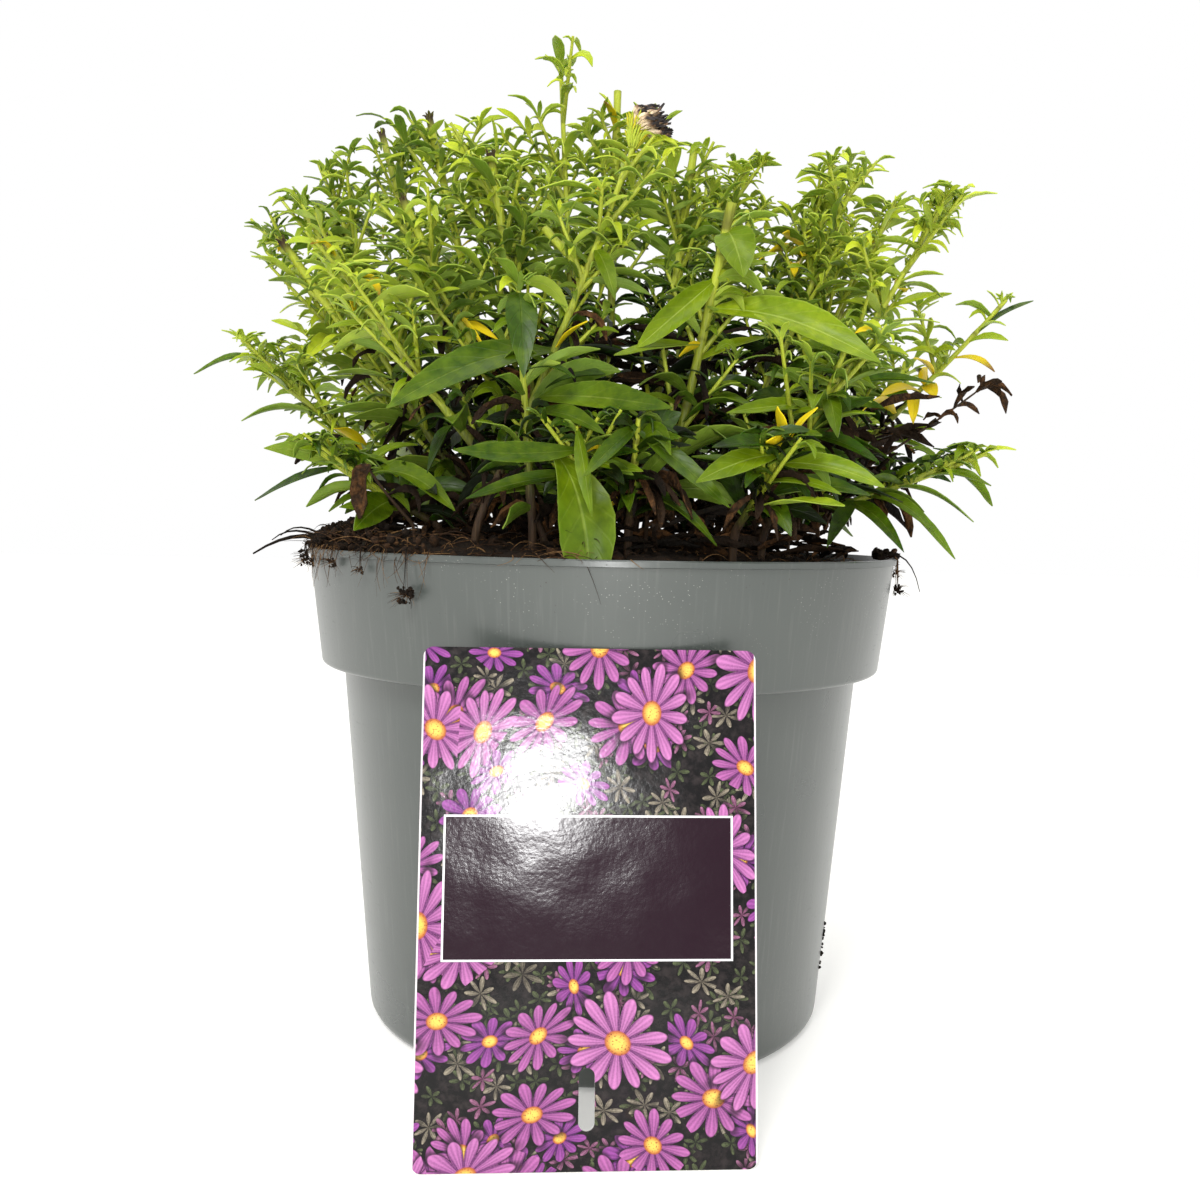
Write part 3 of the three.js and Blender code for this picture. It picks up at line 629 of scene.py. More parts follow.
class Finish:
    """A material while it is being made."""

    def __init__(self, name):
        self.material = bpy.data.materials.new(name)
        self.material.use_nodes = True
        self.tree = self.material.node_tree
        self.tree.nodes.clear()

    def node(self, kind, settings=None, inputs=None):
        """A node of a type, with its settings and its inputs' values or links."""
        made = self.tree.nodes.new(kind)
        for name, value in (settings or {}).items():
            if name == "stops":
                self.set_stops(made.color_ramp, value)
            else:
                setattr(made, name, value)
        for name, value in (inputs or {}).items():
            if isinstance(value, Wire):
                self.tree.links.new(value.socket, made.inputs[name])
            else:
                made.inputs[name].default_value = value
        return made

    @staticmethod
    def set_stops(ramp, stops):
        """Colours at places along a colour ramp."""
        while len(ramp.elements) < len(stops):
            ramp.elements.new(0.5)
        for element, (place, shade) in zip(ramp.elements, stops):
            element.position = place
            element.color = (*shade, 1.0)

    def wire(self, kind, settings=None, inputs=None, output=0):
        """One output of a new node."""
        return Wire(self, self.node(kind, settings, inputs).outputs[output])

    def place(self):
        """Object coordinates, in metres."""
        return self.wire("ShaderNodeTexCoord", output="Object")

    def axes(self, vector):
        """The x, y and z of a vector."""
        node = self.node("ShaderNodeSeparateXYZ", None, {0: vector})
        return [Wire(self, output) for output in node.outputs]

    def vector(self, x, y, z):
        """A vector from three values."""
        return self.wire("ShaderNodeCombineXYZ", None, {0: x, 1: y, 2: z})

    def blade(self):
        """How far across and along its blade a point is, from 0 to 1."""
        map_ = self.wire("ShaderNodeUVMap", {"uv_map": "blade"}, output="UV")
        return self.axes(map_)[:2]

    def stretch(self, vector, x, y, z):
        """A vector scaled along each axis."""
        inputs = {0: vector, 1: (x, y, z)}
        return self.wire("ShaderNodeVectorMath", {"operation": "MULTIPLY"}, inputs)

    def noise(self, place, scale, detail=3.0, roughness=0.55):
        """Cloudy noise from 0 to 1."""
        inputs = {"Vector": place, "Scale": scale, "Detail": detail}
        inputs["Roughness"] = roughness
        return self.wire("ShaderNodeTexNoise", None, inputs)

    def cells(self, place, scale):
        """The distance from scattered points."""
        inputs = {"Vector": place, "Scale": scale}
        return self.wire("ShaderNodeTexVoronoi", None, inputs, "Distance")

    def blend(self, share, one, other):
        """A colour between one and other."""
        one, other = (
            c if isinstance(c, Wire) else (*tuple(c)[:3], 1.0) for c in (one, other)
        )
        inputs = {0: share, 6: one, 7: other}
        return self.wire("ShaderNodeMix", {"data_type": "RGBA"}, inputs, 2)

    def colours(self, share, *stops):
        """A colour ramp read at share."""
        return self.wire("ShaderNodeValToRGB", {"stops": stops}, {0: share})

    def shade(self):
        """The piece's own tone, age and underside."""
        colour = self.wire("ShaderNodeAttribute", {"attribute_name": "shade"})
        node = self.node("ShaderNodeSeparateColor", None, {0: colour})
        return [Wire(self, output) for output in node.outputs]

    def bump(self, height, strength, distance):
        """A normal from a height."""
        inputs = {"Height": height, "Strength": strength, "Distance": distance}
        return self.wire("ShaderNodeBump", None, inputs)

    def done(self, **sockets):
        """Puts the surface on the material. Sockets are named with underscores."""
        inputs = {name.replace("_", " "): value for name, value in sockets.items()}
        surface = self.wire("ShaderNodeBsdfPrincipled", None, inputs)
        self.node("ShaderNodeOutputMaterial", None, {"Surface": surface})
        return self.material


@cache
def leaf_finish():
    """Green leaves with a pale midrib, side veins and a paler underside, darkest where
    their tone carries painted shade.
    """
    look = bpy.context.scene.aster_plant
    finish = Finish("aster_leaf")
    tone, age, under = finish.shade()
    across, along = finish.blade()
    place = finish.place()
    from_rib = abs(across - 0.5) * 2
    rib = from_rib.ramp(0.01, 0.08, 1.0, 0.0)
    veins = ((along * 7 - from_rib * 1.6) * math.tau).cos().ramp(0.8, 1.0)
    margin = from_rib.ramp(0.9, 1.0)
    cloud = finish.noise(place, 260.0)
    patch = finish.noise(place, 25.0, 2.0)
    cool = finish.noise(finish.stretch(place, 1.0, 1.3, 0.7), 34.0, 2.0)
    level = tone + (cloud - 0.5) * 0.35 + (patch - 0.5) * 0.4 + 0.1
    # The lowest stop, a near-black green, is the colour of leaves in the deepest painted
    # shade
    green = finish.colours(
        level,
        (0.0, linear(16, 24, 6)),
        (0.2, look.dark),
        (0.55, look.middle),
        (1.0, look.light),
    )
    blue = linear(88, 118, 34)
    green = finish.blend(cool.ramp(0.5, 0.7) * level.ramp(0.0, 0.5) * 0.3, green, blue)
    pale = linear(176, 190, 96)
    # lit: how light the tone is, painted shade included; the pale rib, veins, margin and
    # underside fade where it is low
    lit = level.ramp(0.1, 0.6)
    green = finish.blend((rib * 0.3 + veins * 0.05 + margin * 0.15) * lit, green, pale)
    green = finish.blend(under * lit * 0.35, green, linear(112, 136, 70))
    turned = (age * 1.5 + from_rib * 0.25 + along * 0.3 - 0.5).ramp(0.0, 0.6)
    green = finish.blend(turned, green, look.yellow)
    scorch = (age * 0.7 + along * 0.6 + patch * 0.4).ramp(1.25, 1.5)
    green = finish.blend(scorch, green, linear(120, 84, 44))
    height = rib * -0.9 + veins * -0.3 + cloud * 0.6
    return finish.done(
        Base_Color=green,
        Roughness=cloud * 0.24 + 0.24,
        Specular_IOR_Level=0.15,
        Subsurface_Weight=0.15,
        Subsurface_Radius=(0.5, 1.0, 0.2),
        Subsurface_Scale=0.0015,
        Normal=finish.bump(height, 0.5, 0.0003),
    )


@cache
def stem_finish():
    """Pale ridged stems, browner where they are old or cut."""
    look = bpy.context.scene.aster_plant
    finish = Finish("aster_stem")
    tone, age, _ = finish.shade()
    place = finish.place()
    ridges = finish.noise(finish.stretch(place, 1.0, 1.0, 0.12), 1400.0, 2.0)
    blotch = finish.noise(place, 90.0)
    green = finish.blend(tone + (ridges - 0.5) * 0.8, linear(66, 78, 14), look.stem)
    old = (age + (blotch - 0.5) * 0.5).ramp(0.3, 0.8)
    bark = finish.blend(ridges, linear(20, 14, 8), linear(70, 50, 30))
    return finish.done(
        Base_Color=finish.blend(old, green, bark),
        Roughness=old * 0.3 + 0.42,
        Specular_IOR_Level=0.25,
        Subsurface_Weight=0.1,
        Subsurface_Radius=(0.5, 1.0, 0.2),
        Subsurface_Scale=0.0015,
        Normal=finish.bump(ridges, 0.8, 0.0005),
    )


@cache
def dead_finish():
    """Brown, brittle, crumpled leaves."""
    look = bpy.context.scene.aster_plant
    finish = Finish("aster_dead_leaf")
    tone, _, _ = finish.shade()
    place = finish.place()
    cloud = finish.noise(place, 220.0, 4.0)
    crease = finish.noise(place, 900.0, 3.0)
    level = tone * 0.8 + (cloud - 0.5) * 0.9 + (crease - 0.5) * 0.5
    brown = finish.colours(
        level,
        (0.0, linear(12, 8, 4)),
        (0.6, linear(38, 25, 13)),
        (1.0, look.dead),
    )
    return finish.done(
        Base_Color=brown,
        Roughness=cloud * 0.2 + 0.62,
        Specular_IOR_Level=0.12,
        Normal=finish.bump(crease + cloud, 1.0, 0.001),
    )


@cache
def peat_finish():
    """Dark, fibrous peat."""
    look = bpy.context.scene.aster_soil
    finish = Finish("peat")
    tone, _, _ = finish.shade()
    place = finish.place()
    fine = finish.noise(place, 700.0, 6.0, 0.7)
    lumps = finish.noise(place, 120.0, 4.0)
    level = tone * 0.6 + (fine - 0.5) * 1.2 + (lumps - 0.5) * 0.8 + 0.2
    brown = finish.colours(
        level,
        (0.0, linear(8, 6, 4)),
        (0.5, look.peat),
        (0.85, linear(70, 47, 28)),
        (1.0, linear(122, 92, 58)),
    )
    return finish.done(
        Base_Color=brown,
        Roughness=0.9,
        Specular_IOR_Level=0.15,
        Normal=finish.bump(fine, 1.0, 0.0012),
    )


@cache
def plastic_finish():
    """Grey moulded plastic, dusty round the collar, with faint scuffs."""
    look = bpy.context.scene.aster_pot
    finish = Finish("pot_plastic")
    place = finish.place()
    x, y, height = finish.axes(place)
    angle = y.math("ARCTAN2", x)
    around = finish.vector(angle * 0.09, height, 0.0)
    cloud = finish.noise(place, 22.0, 4.0)
    fine = finish.noise(place, 900.0, 2.0)
    streaks = finish.noise(finish.stretch(around, 1.0, 0.05, 1.0), 700.0, 3.0)
    base = finish.blend(cloud * 0.8 + 0.1, look.plastic, linear(74, 78, 74))
    base = finish.blend(streaks.ramp(0.52, 0.75) * 0.14, base, linear(116, 118, 114))
    low = POT_HIGH.z - POT.collar_height
    upper = height.ramp(low, POT_HIGH.z)
    lower = height.ramp(0.0, 0.05, 1.0, 0.0)
    specks = finish.cells(place, 420.0)
    sown = finish.noise(place, 55.0, 2.0)
    dirt = specks.ramp(0.05, 0.1, 1.0, 0.0) * sown.ramp(0.5, 0.62)
    white = finish.cells(finish.stretch(place, 1.0, 1.0, 1.1), 900.0)
    dust = white.ramp(0.08, 0.16, 1.0, 0.0) * sown.ramp(0.5, 0.4)
    dirty = (upper + lower * 0.4 + 0.08).least(1.0)
    base = finish.blend(dirt * dirty * 0.85, base, linear(40, 30, 22))
    base = finish.blend(dust * dirty * 0.4, base, linear(196, 196, 186))
    scuffs = finish.noise(finish.stretch(around, 1.0, 6.0, 1.0), 160.0, 3.0)
    worn = scuffs.ramp(0.6, 0.78)
    relief = cloud * 0.4 + fine * 0.12 + dirt * 0.8
    return finish.done(
        Base_Color=base,
        Roughness=cloud * 0.14 + worn * 0.1 + 0.22,
        Specular_IOR_Level=0.64,
        Normal=finish.bump(relief, 0.25, 0.0006),
    )


class Blossoms:
    """Printed stars of petals or leaves, scattered over a flat map in millimetres."""

    def __init__(self, finish, x, y, shift, size, petals, joined, left_out, sharp):
        place = finish.vector(x / size + shift, y / size + shift * 1.7, 0.0)
        scatter = {"Vector": place, "Scale": 1.0, "Randomness": 0.85}
        node = finish.node("ShaderNodeTexVoronoi", {"voronoi_dimensions": "2D"}, scatter)
        outputs = {name: Wire(finish, node.outputs[name]) for name in ("Color", "Position")}
        chance, width, self.tone = finish.axes(outputs["Color"])
        self.shown = self.tone.ramp(left_out, left_out + 0.02)
        inputs = {0: place, 1: outputs["Position"]}
        settings = {"operation": "SUBTRACT"}
        away = finish.wire("ShaderNodeVectorMath", settings, inputs)
        ax, ay, _ = finish.axes(away)
        slant = chance * math.tau
        long = ax * slant.cos() + ay * slant.sin()
        short = (ay * slant.cos() - ax * slant.sin()) * (self.tone * 0.5 + 1.0)
        reach = (long * long + short * short) ** 0.5 / (width * 0.14 + 0.42)
        angle = short.math("ARCTAN2", long)
        wave = abs((angle * (petals / 2)).cos())
        uneven = (angle * 3 + slant).cos() * 0.06
        edge = wave**sharp * (1 - joined) + joined + uneven - 0.06
        streaks = (angle * petals * 4).cos() * 0.15
        self.mask = (reach - edge).ramp(-0.03, 0.02, 1.0, 0.0)
        self.shadow = (reach - edge).ramp(0.0, 0.3, 1.0, 0.0)
        self.light = wave * 0.55 + reach * 0.45 + streaks - 0.1
        self.heart = reach.ramp(0.22, 0.26, 1.0, 0.0)
        self.rim = reach.ramp(0.08, 0.26)


# The printed layers, from the back: shift, size in millimetres, number of
# petals, how far they are joined, share that is left out, and two colours
PRINTED_LEAVES = (
    (2.1, 7.0, 5, 0.1, 0.1, (20, 22, 16), (84, 92, 62)),
    (7.7, 10.0, 7, 0.1, 0.3, (32, 28, 24), (150, 140, 122)),
    (4.4, 8.0, 6, 0.1, 0.6, (60, 24, 46), (150, 100, 128)),
)
PRINTED_FLOWERS = (
    (0.37, 17.0, 10, 0.3, 0.35, (44, 12, 60), (140, 66, 144)),
    (5.2, 23.0, 12, 0.3, 0.3, (58, 18, 64), (172, 98, 156)),
    (9.63, 29.0, 13, 0.35, 0.35, (72, 24, 74), (192, 120, 174)),
)
LEAF_SHARPNESS = 1.6
PETAL_SHARPNESS = 0.5
PANEL = SimpleNamespace(x=42.5, y=68.0, half_width=36.5, half_height=18.0, line=0.6)


@cache
def label_finish():
    """A glossy print of purple daisies round a plain dark panel."""
    look = bpy.context.scene.aster_label
    finish = Finish("label_print")
    across, along = finish.blade()
    x = across * (look.width / MM)
    y = along * (look.height / MM)
    flat = finish.vector(x, y, 0.0)
    leafy = finish.noise(flat, 0.35, 5.0, 0.65)
    grain = finish.noise(flat, 2.2, 2.0)
    dark = linear(10, 8, 9)
    print_ = finish.blend(leafy.ramp(0.4, 0.7), dark, linear(40, 34, 34))
    for *layer, deep, bright in PRINTED_LEAVES:
        leaves = Blossoms(finish, x, y, *layer, LEAF_SHARPNESS)
        shade = (leaves.light + grain - 0.7).most(0.0).least(1.0)
        leaf = finish.blend(shade, linear(*deep), linear(*bright))
        print_ = finish.blend(leaves.shadow * leaves.shown * 0.7, print_, dark)
        print_ = finish.blend(leaves.mask * leaves.shown, print_, leaf)
    for *layer, deep, bright in PRINTED_FLOWERS:
        bloom = Blossoms(finish, x, y, *layer, PETAL_SHARPNESS)
        shade = (bloom.light + (grain - 0.5) * 0.5).most(0.0).least(1.0)
        petal = finish.blend(bloom.tone * 0.4, linear(*bright), look.petals)
        petal = finish.blend(shade, linear(*deep), petal)
        print_ = finish.blend(bloom.shadow * bloom.shown * 0.8, print_, dark)
        print_ = finish.blend(bloom.mask * bloom.shown, print_, petal)
        heart = finish.blend(bloom.rim, linear(226, 180, 84), linear(150, 66, 40))
        heart = finish.blend(grain.ramp(0.55, 0.7), heart, linear(96, 38, 34))
        print_ = finish.blend(bloom.heart * bloom.shown, print_, heart)
    beside = abs(x - PANEL.x) - PANEL.half_width
    above = abs(y - PANEL.y) - PANEL.half_height
    side = beside.most(above)
    print_ = finish.blend(side.ramp(-0.03, 0.03, 1.0, 0.0), print_, look.panel)
    half = PANEL.line / 2
    frame_line = abs(side + half).ramp(half - 0.1, half, 1.0, 0.0)
    print_ = finish.blend(frame_line, print_, linear(222, 222, 222))
    margin = abs(across - 0.5).ramp(0.494, 0.496)
    print_ = finish.blend(margin, print_, linear(206, 200, 202))
    waves = finish.noise(flat, 0.05, 1.0)
    peel = finish.noise(flat, 0.7, 2.0)
    return finish.done(
        Base_Color=print_,
        Roughness=leafy * 0.06 + 0.1,
        Specular_IOR_Level=0.22,
        Normal=finish.bump(waves + peel * 0.06, 0.2, 0.002),
    )


@cache
def card_back_finish():
    """The bare white plastic of the card, at its back and edges."""
    finish = Finish("card_back")
    cloud = finish.noise(finish.place(), 30.0)
    return finish.done(
        Base_Color=finish.blend(cloud, linear(206, 205, 200), linear(220, 219, 214)),
        Roughness=cloud * 0.1 + 0.35,
    )


@cache
def floret_finish():
    """Dry florets, cream at the foot and nearly black at the tip."""
    look = bpy.context.scene.aster_head
    finish = Finish("dry_floret")
    tone, _, _ = finish.shade()
    _, along = finish.blade()
    streaks = finish.noise(finish.place(), 1500.0, 3.0)
    level = along - tone * 0.35 + (streaks - 0.5) * 0.4
    brown = finish.colours(
        level,
        (0.3, look.floret),
        (0.5, linear(132, 104, 78)),
        (0.62, linear(30, 22, 22)),
    )
    return finish.done(
        Base_Color=brown,
        Roughness=streaks * 0.2 + 0.65,
        Normal=finish.bump(streaks, 0.6, 0.0003),
    )


@cache
def floor_finish():
    """A plain pale floor with faint creases, which glows faintly as painted light that
    lifts the shadows on it.
    """
    look = bpy.context.scene.aster_stage
    finish = Finish("floor_paper")
    place = finish.place()
    creases = finish.noise(place, 14.0, 4.0)
    return finish.done(
        Base_Color=finish.blend(creases * 0.5, look.floor, linear(232, 231, 226)),
        Roughness=0.8,
        Specular_IOR_Level=0.1,
        # Painted light: the floor glows faintly, though it is no lamp, to brighten the
        # shade round the pot and under the label
        Emission_Color=(1.0, 1.0, 0.98, 1.0),
        Emission_Strength=0.25,
        Normal=finish.bump(creases, 0.15, 0.006),
    )


# Forms that are modelled once and then laid along many paths

RIPPLE = SimpleNamespace(waves=1.7, slant=2.0, at_rib=0.4, outwards=0.6)
TOOTH_STEP = 3  # rows from tooth to tooth
TOOTHED_FROM = 0.4  # as a share of the rows
SMOOTH_WITHIN = 55  # degrees between faces that are shaded as one
STEEP = 0.8  # a path this steep along Y takes X as its side

def keep_form(piece):
    """Reads a modelled form as arrays, and deletes its object."""
    mesh = mesh_in_object_mode(piece)
    points = np.zeros(len(mesh.vertices) * 3)
    mesh.vertices.foreach_get("co", points)
    corners = np.zeros(len(mesh.loops), int)
    mesh.loops.foreach_get("vertex_index", corners)
    sizes = np.zeros(len(mesh.polygons), int)
    mesh.polygons.foreach_get("loop_total", sizes)
    uv = np.zeros(len(mesh.loops) * 2)
    if mesh.uv_layers:
        mesh.uv_layers.active.uv.foreach_get("vector", uv)
    remove(piece)
    return SimpleNamespace(
        points=points.reshape(-1, 3), corners=corners, sizes=sizes, uv=uv.reshape(-1, 2)
    )


def model_blade(widths, columns):
    """A blade one unit long whose rows have the given half widths, one unit thick."""
    rows = len(widths) - 1
    deselect()
    bpy.ops.mesh.primitive_grid_add(
        x_subdivisions=columns, y_subdivisions=rows, size=2, location=(0, 0, 0)
    )
    piece = bpy.context.object
    edit(piece)
    bpy.ops.transform.translate(value=(0, 1, 0))
    bpy.ops.transform.resize(value=(1, 0.5, 1), center_override=(0, 0, 0))
    for row, width in enumerate(widths):
        height = row / rows
        edit(piece, lambda place: abs(place.y - height) < 0.1 / rows)
        bpy.ops.transform.resize(value=(width, 1, 1), center_override=(0, height, 0))
    bpy.ops.object.mode_set(mode="OBJECT")
    modify(piece, "SOLIDIFY", thickness=1.0, offset=-1.0)
    return keep_form(piece)


def toothed(widths, teeth):
    """Row widths with every third row of the outer part drawn out to a tooth."""
    first = len(widths) * TOOTHED_FROM
    return [
        width * (1 + teeth) if row > first and row % TOOTH_STEP == 0 else width
        for row, width in enumerate(widths)
    ]


def lance(rows, widest, foot, tip, fullness=0.85):
    """Half widths of a lance-shaped leaf."""
    shares = [row / rows for row in range(rows + 1)]
    power = math.log(0.5) / math.log(widest)
    swell = [abs(math.sin(math.pi * share**power)) ** fullness for share in shares]
    return [
        max(width, foot * (1 - share), tip) for width, share in zip(swell, shares)
    ]


@cache
def blade_form(name):
    """The modelled blade of a kind of leaf, from its row widths and columns."""
    forms = {
        "bud": (lance(4, 0.5, 0.4, 0.1), 2),
        "small": (lance(5, 0.55, 0.3, 0.08), 2),
        "medium": (toothed(lance(9, 0.5, 0.28, 0.05), 0.06), 2),
        "large": (toothed(lance(12, 0.5, 0.28, 0.05), 0.05), 4),
        "named": (toothed(lance(22, 0.5, 0.26, 0.03), 0.035), 4),
        "blunt": (toothed(lance(24, 0.62, 0.3, 0.04, 0.6), 0.03), 6),
        "dead": (lance(6, 0.5, 0.25, 0.1), 2),
        "strip": (lance(6, 0.6, 0.6, 0.35), 2),
    }
    widths, columns = forms[name]
    return model_blade(widths, columns)


@cache
def tube_form(rings, sides):
    """A closed tube of radius and length one, with rings along it."""
    deselect()
    bpy.ops.mesh.primitive_cylinder_add(vertices=sides, radius=1, depth=1)
    piece = bpy.context.object
    edit(piece)
    bpy.ops.transform.translate(value=(0, 0, 0.5))
    edit_upright_edges(piece, bpy.ops.mesh.subdivide, number_cuts=rings - 2)
    return keep_form(piece)


@cache
def crumb_form():
    """A rough lump of radius one."""
    deselect()
    bpy.ops.mesh.primitive_ico_sphere_add(subdivisions=2, radius=1)
    piece = bpy.context.object
    grain = bpy.data.textures.new("crumb_grain", "CLOUDS")
    grain.noise_scale = 0.6
    modify(piece, "DISPLACE", texture=grain, strength=1.1, mid_level=0.5)
    return keep_form(piece)


def unit(vectors):
    """Vectors drawn to length one."""
    return vectors / np.linalg.norm(vectors, axis=-1, keepdims=True)


def around(angle, radius=1.0, height=0.0):
    """The place or direction at an angle round the Z axis."""
    return np.array([radius * math.cos(angle), radius * math.sin(angle), height])


def held(value):
    """A value held between 0 and 1."""
    return min(max(value, 0), 1)


def bend(a, b, c, t):
    """The place at t on the curve from a to c that b draws aside."""
    one = a + (b - a) * t
    other = b + (c - b) * t
    return one + (other - one) * t


def bend_tangent(a, b, c, t):
    """The direction at t on the curve from a to c that b draws aside."""
    return unit((b + (c - b) * t) - (a + (b - a) * t))


def blade(base, control, tip, **looks):
    """A leaf, floret or strip, with its path in millimetres and its looks."""
    return SimpleNamespace(base=base, control=control, tip=tip, **looks)


def stacked(leaves, name):
    """One value of every leaf, as an array."""
    return np.array([getattr(leaf, name) for leaf in leaves], float)


def batch(form, points, shade, slot=0):
    """Laid copies of a form, with the tone, age and underside of each point."""
    return SimpleNamespace(form=form, points=points, shade=shade, slot=slot)


def lay_blades(leaves, thickness=0.3, slot=0):
    """Lays the blade of each leaf's form along its path, in millimetres."""
    laid = []
    for name in sorted({leaf.form for leaf in leaves}):
        form = blade_form(name)
        group = [leaf for leaf in leaves if leaf.form == name]
        x, along, depth = (form.points[:, i][None, :, None] for i in range(3))
        base, control, tip = (
            stacked(group, end)[:, None, :] for end in ("base", "control", "tip")
        )
        width, roll, twist, curl, wave, phase = (
            stacked(group, end)[:, None, None]
            for end in ("width", "roll", "twist", "curl", "wave", "phase")
        )
        forward = bend_tangent(base, control, tip, along)
        level = unit(np.cross(forward, UP))
        above = np.cross(level, forward)
        turn = roll + twist * (along - 0.5)
        across = level * np.cos(turn) - above * np.sin(turn)
        face = np.cross(across, forward)
        bent = curl * x
        half = 0.5 * width
        sideways = half * np.sin(bent) / curl
        lift = half * (1 - np.cos(bent)) / curl
        waves = math.tau * (RIPPLE.waves * along + phase) + RIPPLE.slant * x
        ripple = wave * width * np.sin(waves)
        ripple = ripple * along * (RIPPLE.at_rib + RIPPLE.outwards * np.abs(x))
        points = bend(base, control, tip, along) + across * sideways
        points = points + face * (lift + ripple + depth * thickness)
        under = np.broadcast_to(-form.points[:, 2], points.shape[:2])
        shade = np.stack(
            [
                np.broadcast_to(stacked(group, "tone")[:, None], under.shape),
                np.broadcast_to(stacked(group, "age")[:, None], under.shape),
                under,
            ],
            axis=-1,
        )
        laid.append(batch(form, points * MM, shade, slot))
    return laid


def lay_tubes(paths, radii, shade, sides, slot=1):
    """Lays tubes along paths of places in millimetres, all with as many rings."""
    paths = np.asarray(paths, float)
    radii = np.asarray(radii, float)
    rings = paths.shape[1]
    form = tube_form(rings, sides)
    forward = unit(np.gradient(paths, axis=1))
    steep = np.abs(forward[:, :, 1]).max(axis=1) > STEEP
    side = np.where(steep[:, None], [[1.0, 0, 0]], [[0, 1.0, 0]])[:, None, :]
    across = unit(side - forward * (side * forward).sum(-1, keepdims=True))
    other = np.cross(forward, across)
    ring = np.rint(form.points[:, 2] * (rings - 1)).astype(int)
    x, y = form.points[None, :, 0, None], form.points[None, :, 1, None]
    radius = radii[:, ring, None]
    points = paths[:, ring] + (across[:, ring] * x + other[:, ring] * y) * radius
    return batch(form, points * MM, np.asarray(shade, float)[:, ring], slot)


def build_piece(name, batches):
    """One mesh of all the laid copies."""
    places, shades, corners, sizes, maps, slots = [], [], [], [], [], []
    offset = 0
    for laid in batches:
        copies, count = laid.points.shape[:2]
        starts = offset + count * np.arange(copies)
        places.append(laid.points.reshape(-1, 3))
        shades.append(laid.shade.reshape(-1, 3))
        corners.append((laid.form.corners[None] + starts[:, None]).ravel())
        sizes.append(np.tile(laid.form.sizes, copies))
        maps.append(np.tile(laid.form.uv, (copies, 1)))
        slots.append(np.full(copies * len(laid.form.sizes), laid.slot))
        offset += copies * count
    places, shades, corners, sizes, maps, slots = (
        np.concatenate(part) for part in (places, shades, corners, sizes, maps, slots)
    )
    mesh = bpy.data.meshes.new(name)
    mesh.vertices.add(len(places))
    mesh.vertices.foreach_set("co", places.ravel())
    mesh.loops.add(len(corners))
    mesh.loops.foreach_set("vertex_index", corners)
    mesh.polygons.add(len(sizes))
    mesh.polygons.foreach_set("loop_start", np.cumsum(sizes) - sizes)
    mesh.polygons.foreach_set("material_index", slots)
    mesh.update(calc_edges=True)
    mesh.uv_layers.new(name="blade").uv.foreach_set("vector", maps.ravel())
    shade = mesh.attributes.new("shade", "FLOAT_COLOR", "POINT")
    opaque = np.ones((len(shades), 1))
    shade.data.foreach_set("color", np.hstack([shades, opaque]).ravel())
    piece = bpy.data.objects.new(name, mesh)
    bpy.context.scene.collection.objects.link(piece)
    smooth(piece, SMOOTH_WITHIN)
    return piece


# The growing rule


class Dice:
    """Seeded draws, the same on every run."""

    def __init__(self, seed):
        self.state = 7919 * seed + 104729

    def __call__(self, low, high):
        self.state = (self.state * 16807) % 2147483647
        return low + (high - low) * self.state / 2147483647


def with_dice(things, seed):
    """Pairs each thing with seeded draws of its own."""
    return [(thing, Dice(seed + i)) for i, thing in enumerate(things)]


class Claims:
    """The capsules that stems and leaves hold, so that others keep clear."""

    def __init__(self, room=40000):
        self.count = 0
        self.owner = np.zeros(room, int)
        self.start = np.zeros((room, 3))
        self.end = np.zeros((room, 3))
        self.radius = np.zeros(room)

    def add(self, owner, capsules):
        """Adds capsules, each its two ends and its radius."""
        for start, end, radius in capsules:
            self.owner[self.count] = owner
            self.start[self.count] = start
            self.end[self.count] = end
            self.radius[self.count] = radius
            self.count += 1

    def distances(self, start, end):
        """How far the line from start to end is from each capsule's line."""
        other = self.start[: self.count]
        u = end - start
        v = self.end[: self.count] - other
        w = start - other
        uu = u @ u
        uv = v @ u
        vv = (v * v).sum(1)
        uw = w @ u
        vw = (v * w).sum(1)
        cross = uu * vv - uv * uv
        slant = cross > 1e-9
        s = np.where(slant, (uv * vw - vv * uw) / np.where(slant, cross, 1), 0.5)
        t = ((uv * s.clip(0, 1) + vw) / vv).clip(0, 1)
        s = ((uv * t - uw) / uu).clip(0, 1)
        return np.linalg.norm(w + u * s[:, None] - v * t[:, None], axis=1)

    def free(self, owner, capsules, clearance):
        """Whether capsules keep the clearance from what other owners hold."""
        others = self.owner[: self.count] != owner
        reach = self.radius[: self.count] + clearance
        return all(
            (self.distances(start, end)[others] > (reach + radius)[others]).all()
            for start, end, radius in capsules
        )


def dome(from_axis):
    """The height that leaves reach at a distance from the axis."""
    share = from_axis / CROWN.radius
    return CROWN.foot + CROWN.rise * math.sqrt(1 - share * share)


def stays_inside(stem, capsules):
    """Whether capsules are above the soil and rim and under the crown's dome."""
    for start, end, radius in capsules:
        for x, y, z in (start, start + (end - start) * 0.5, end):
            from_axis = math.hypot(x, y)
            if from_axis > max(CROWN.widest, stem.spread):
                return False
            if z > min(dome(from_axis), stem.reach):
                return False
            outside = from_axis > PLANT.rim_radius + radius + 1
            if not outside and z <= PLANT.lowest_leaf + 0.4 * radius:
                return False
    return True


def path_capsules(places, radii):
    """Capsules along a path."""
    return [
        (start, end, max(one, other))
        for start, end, one, other in zip(places, places[1:], radii, radii[1:])
    ]


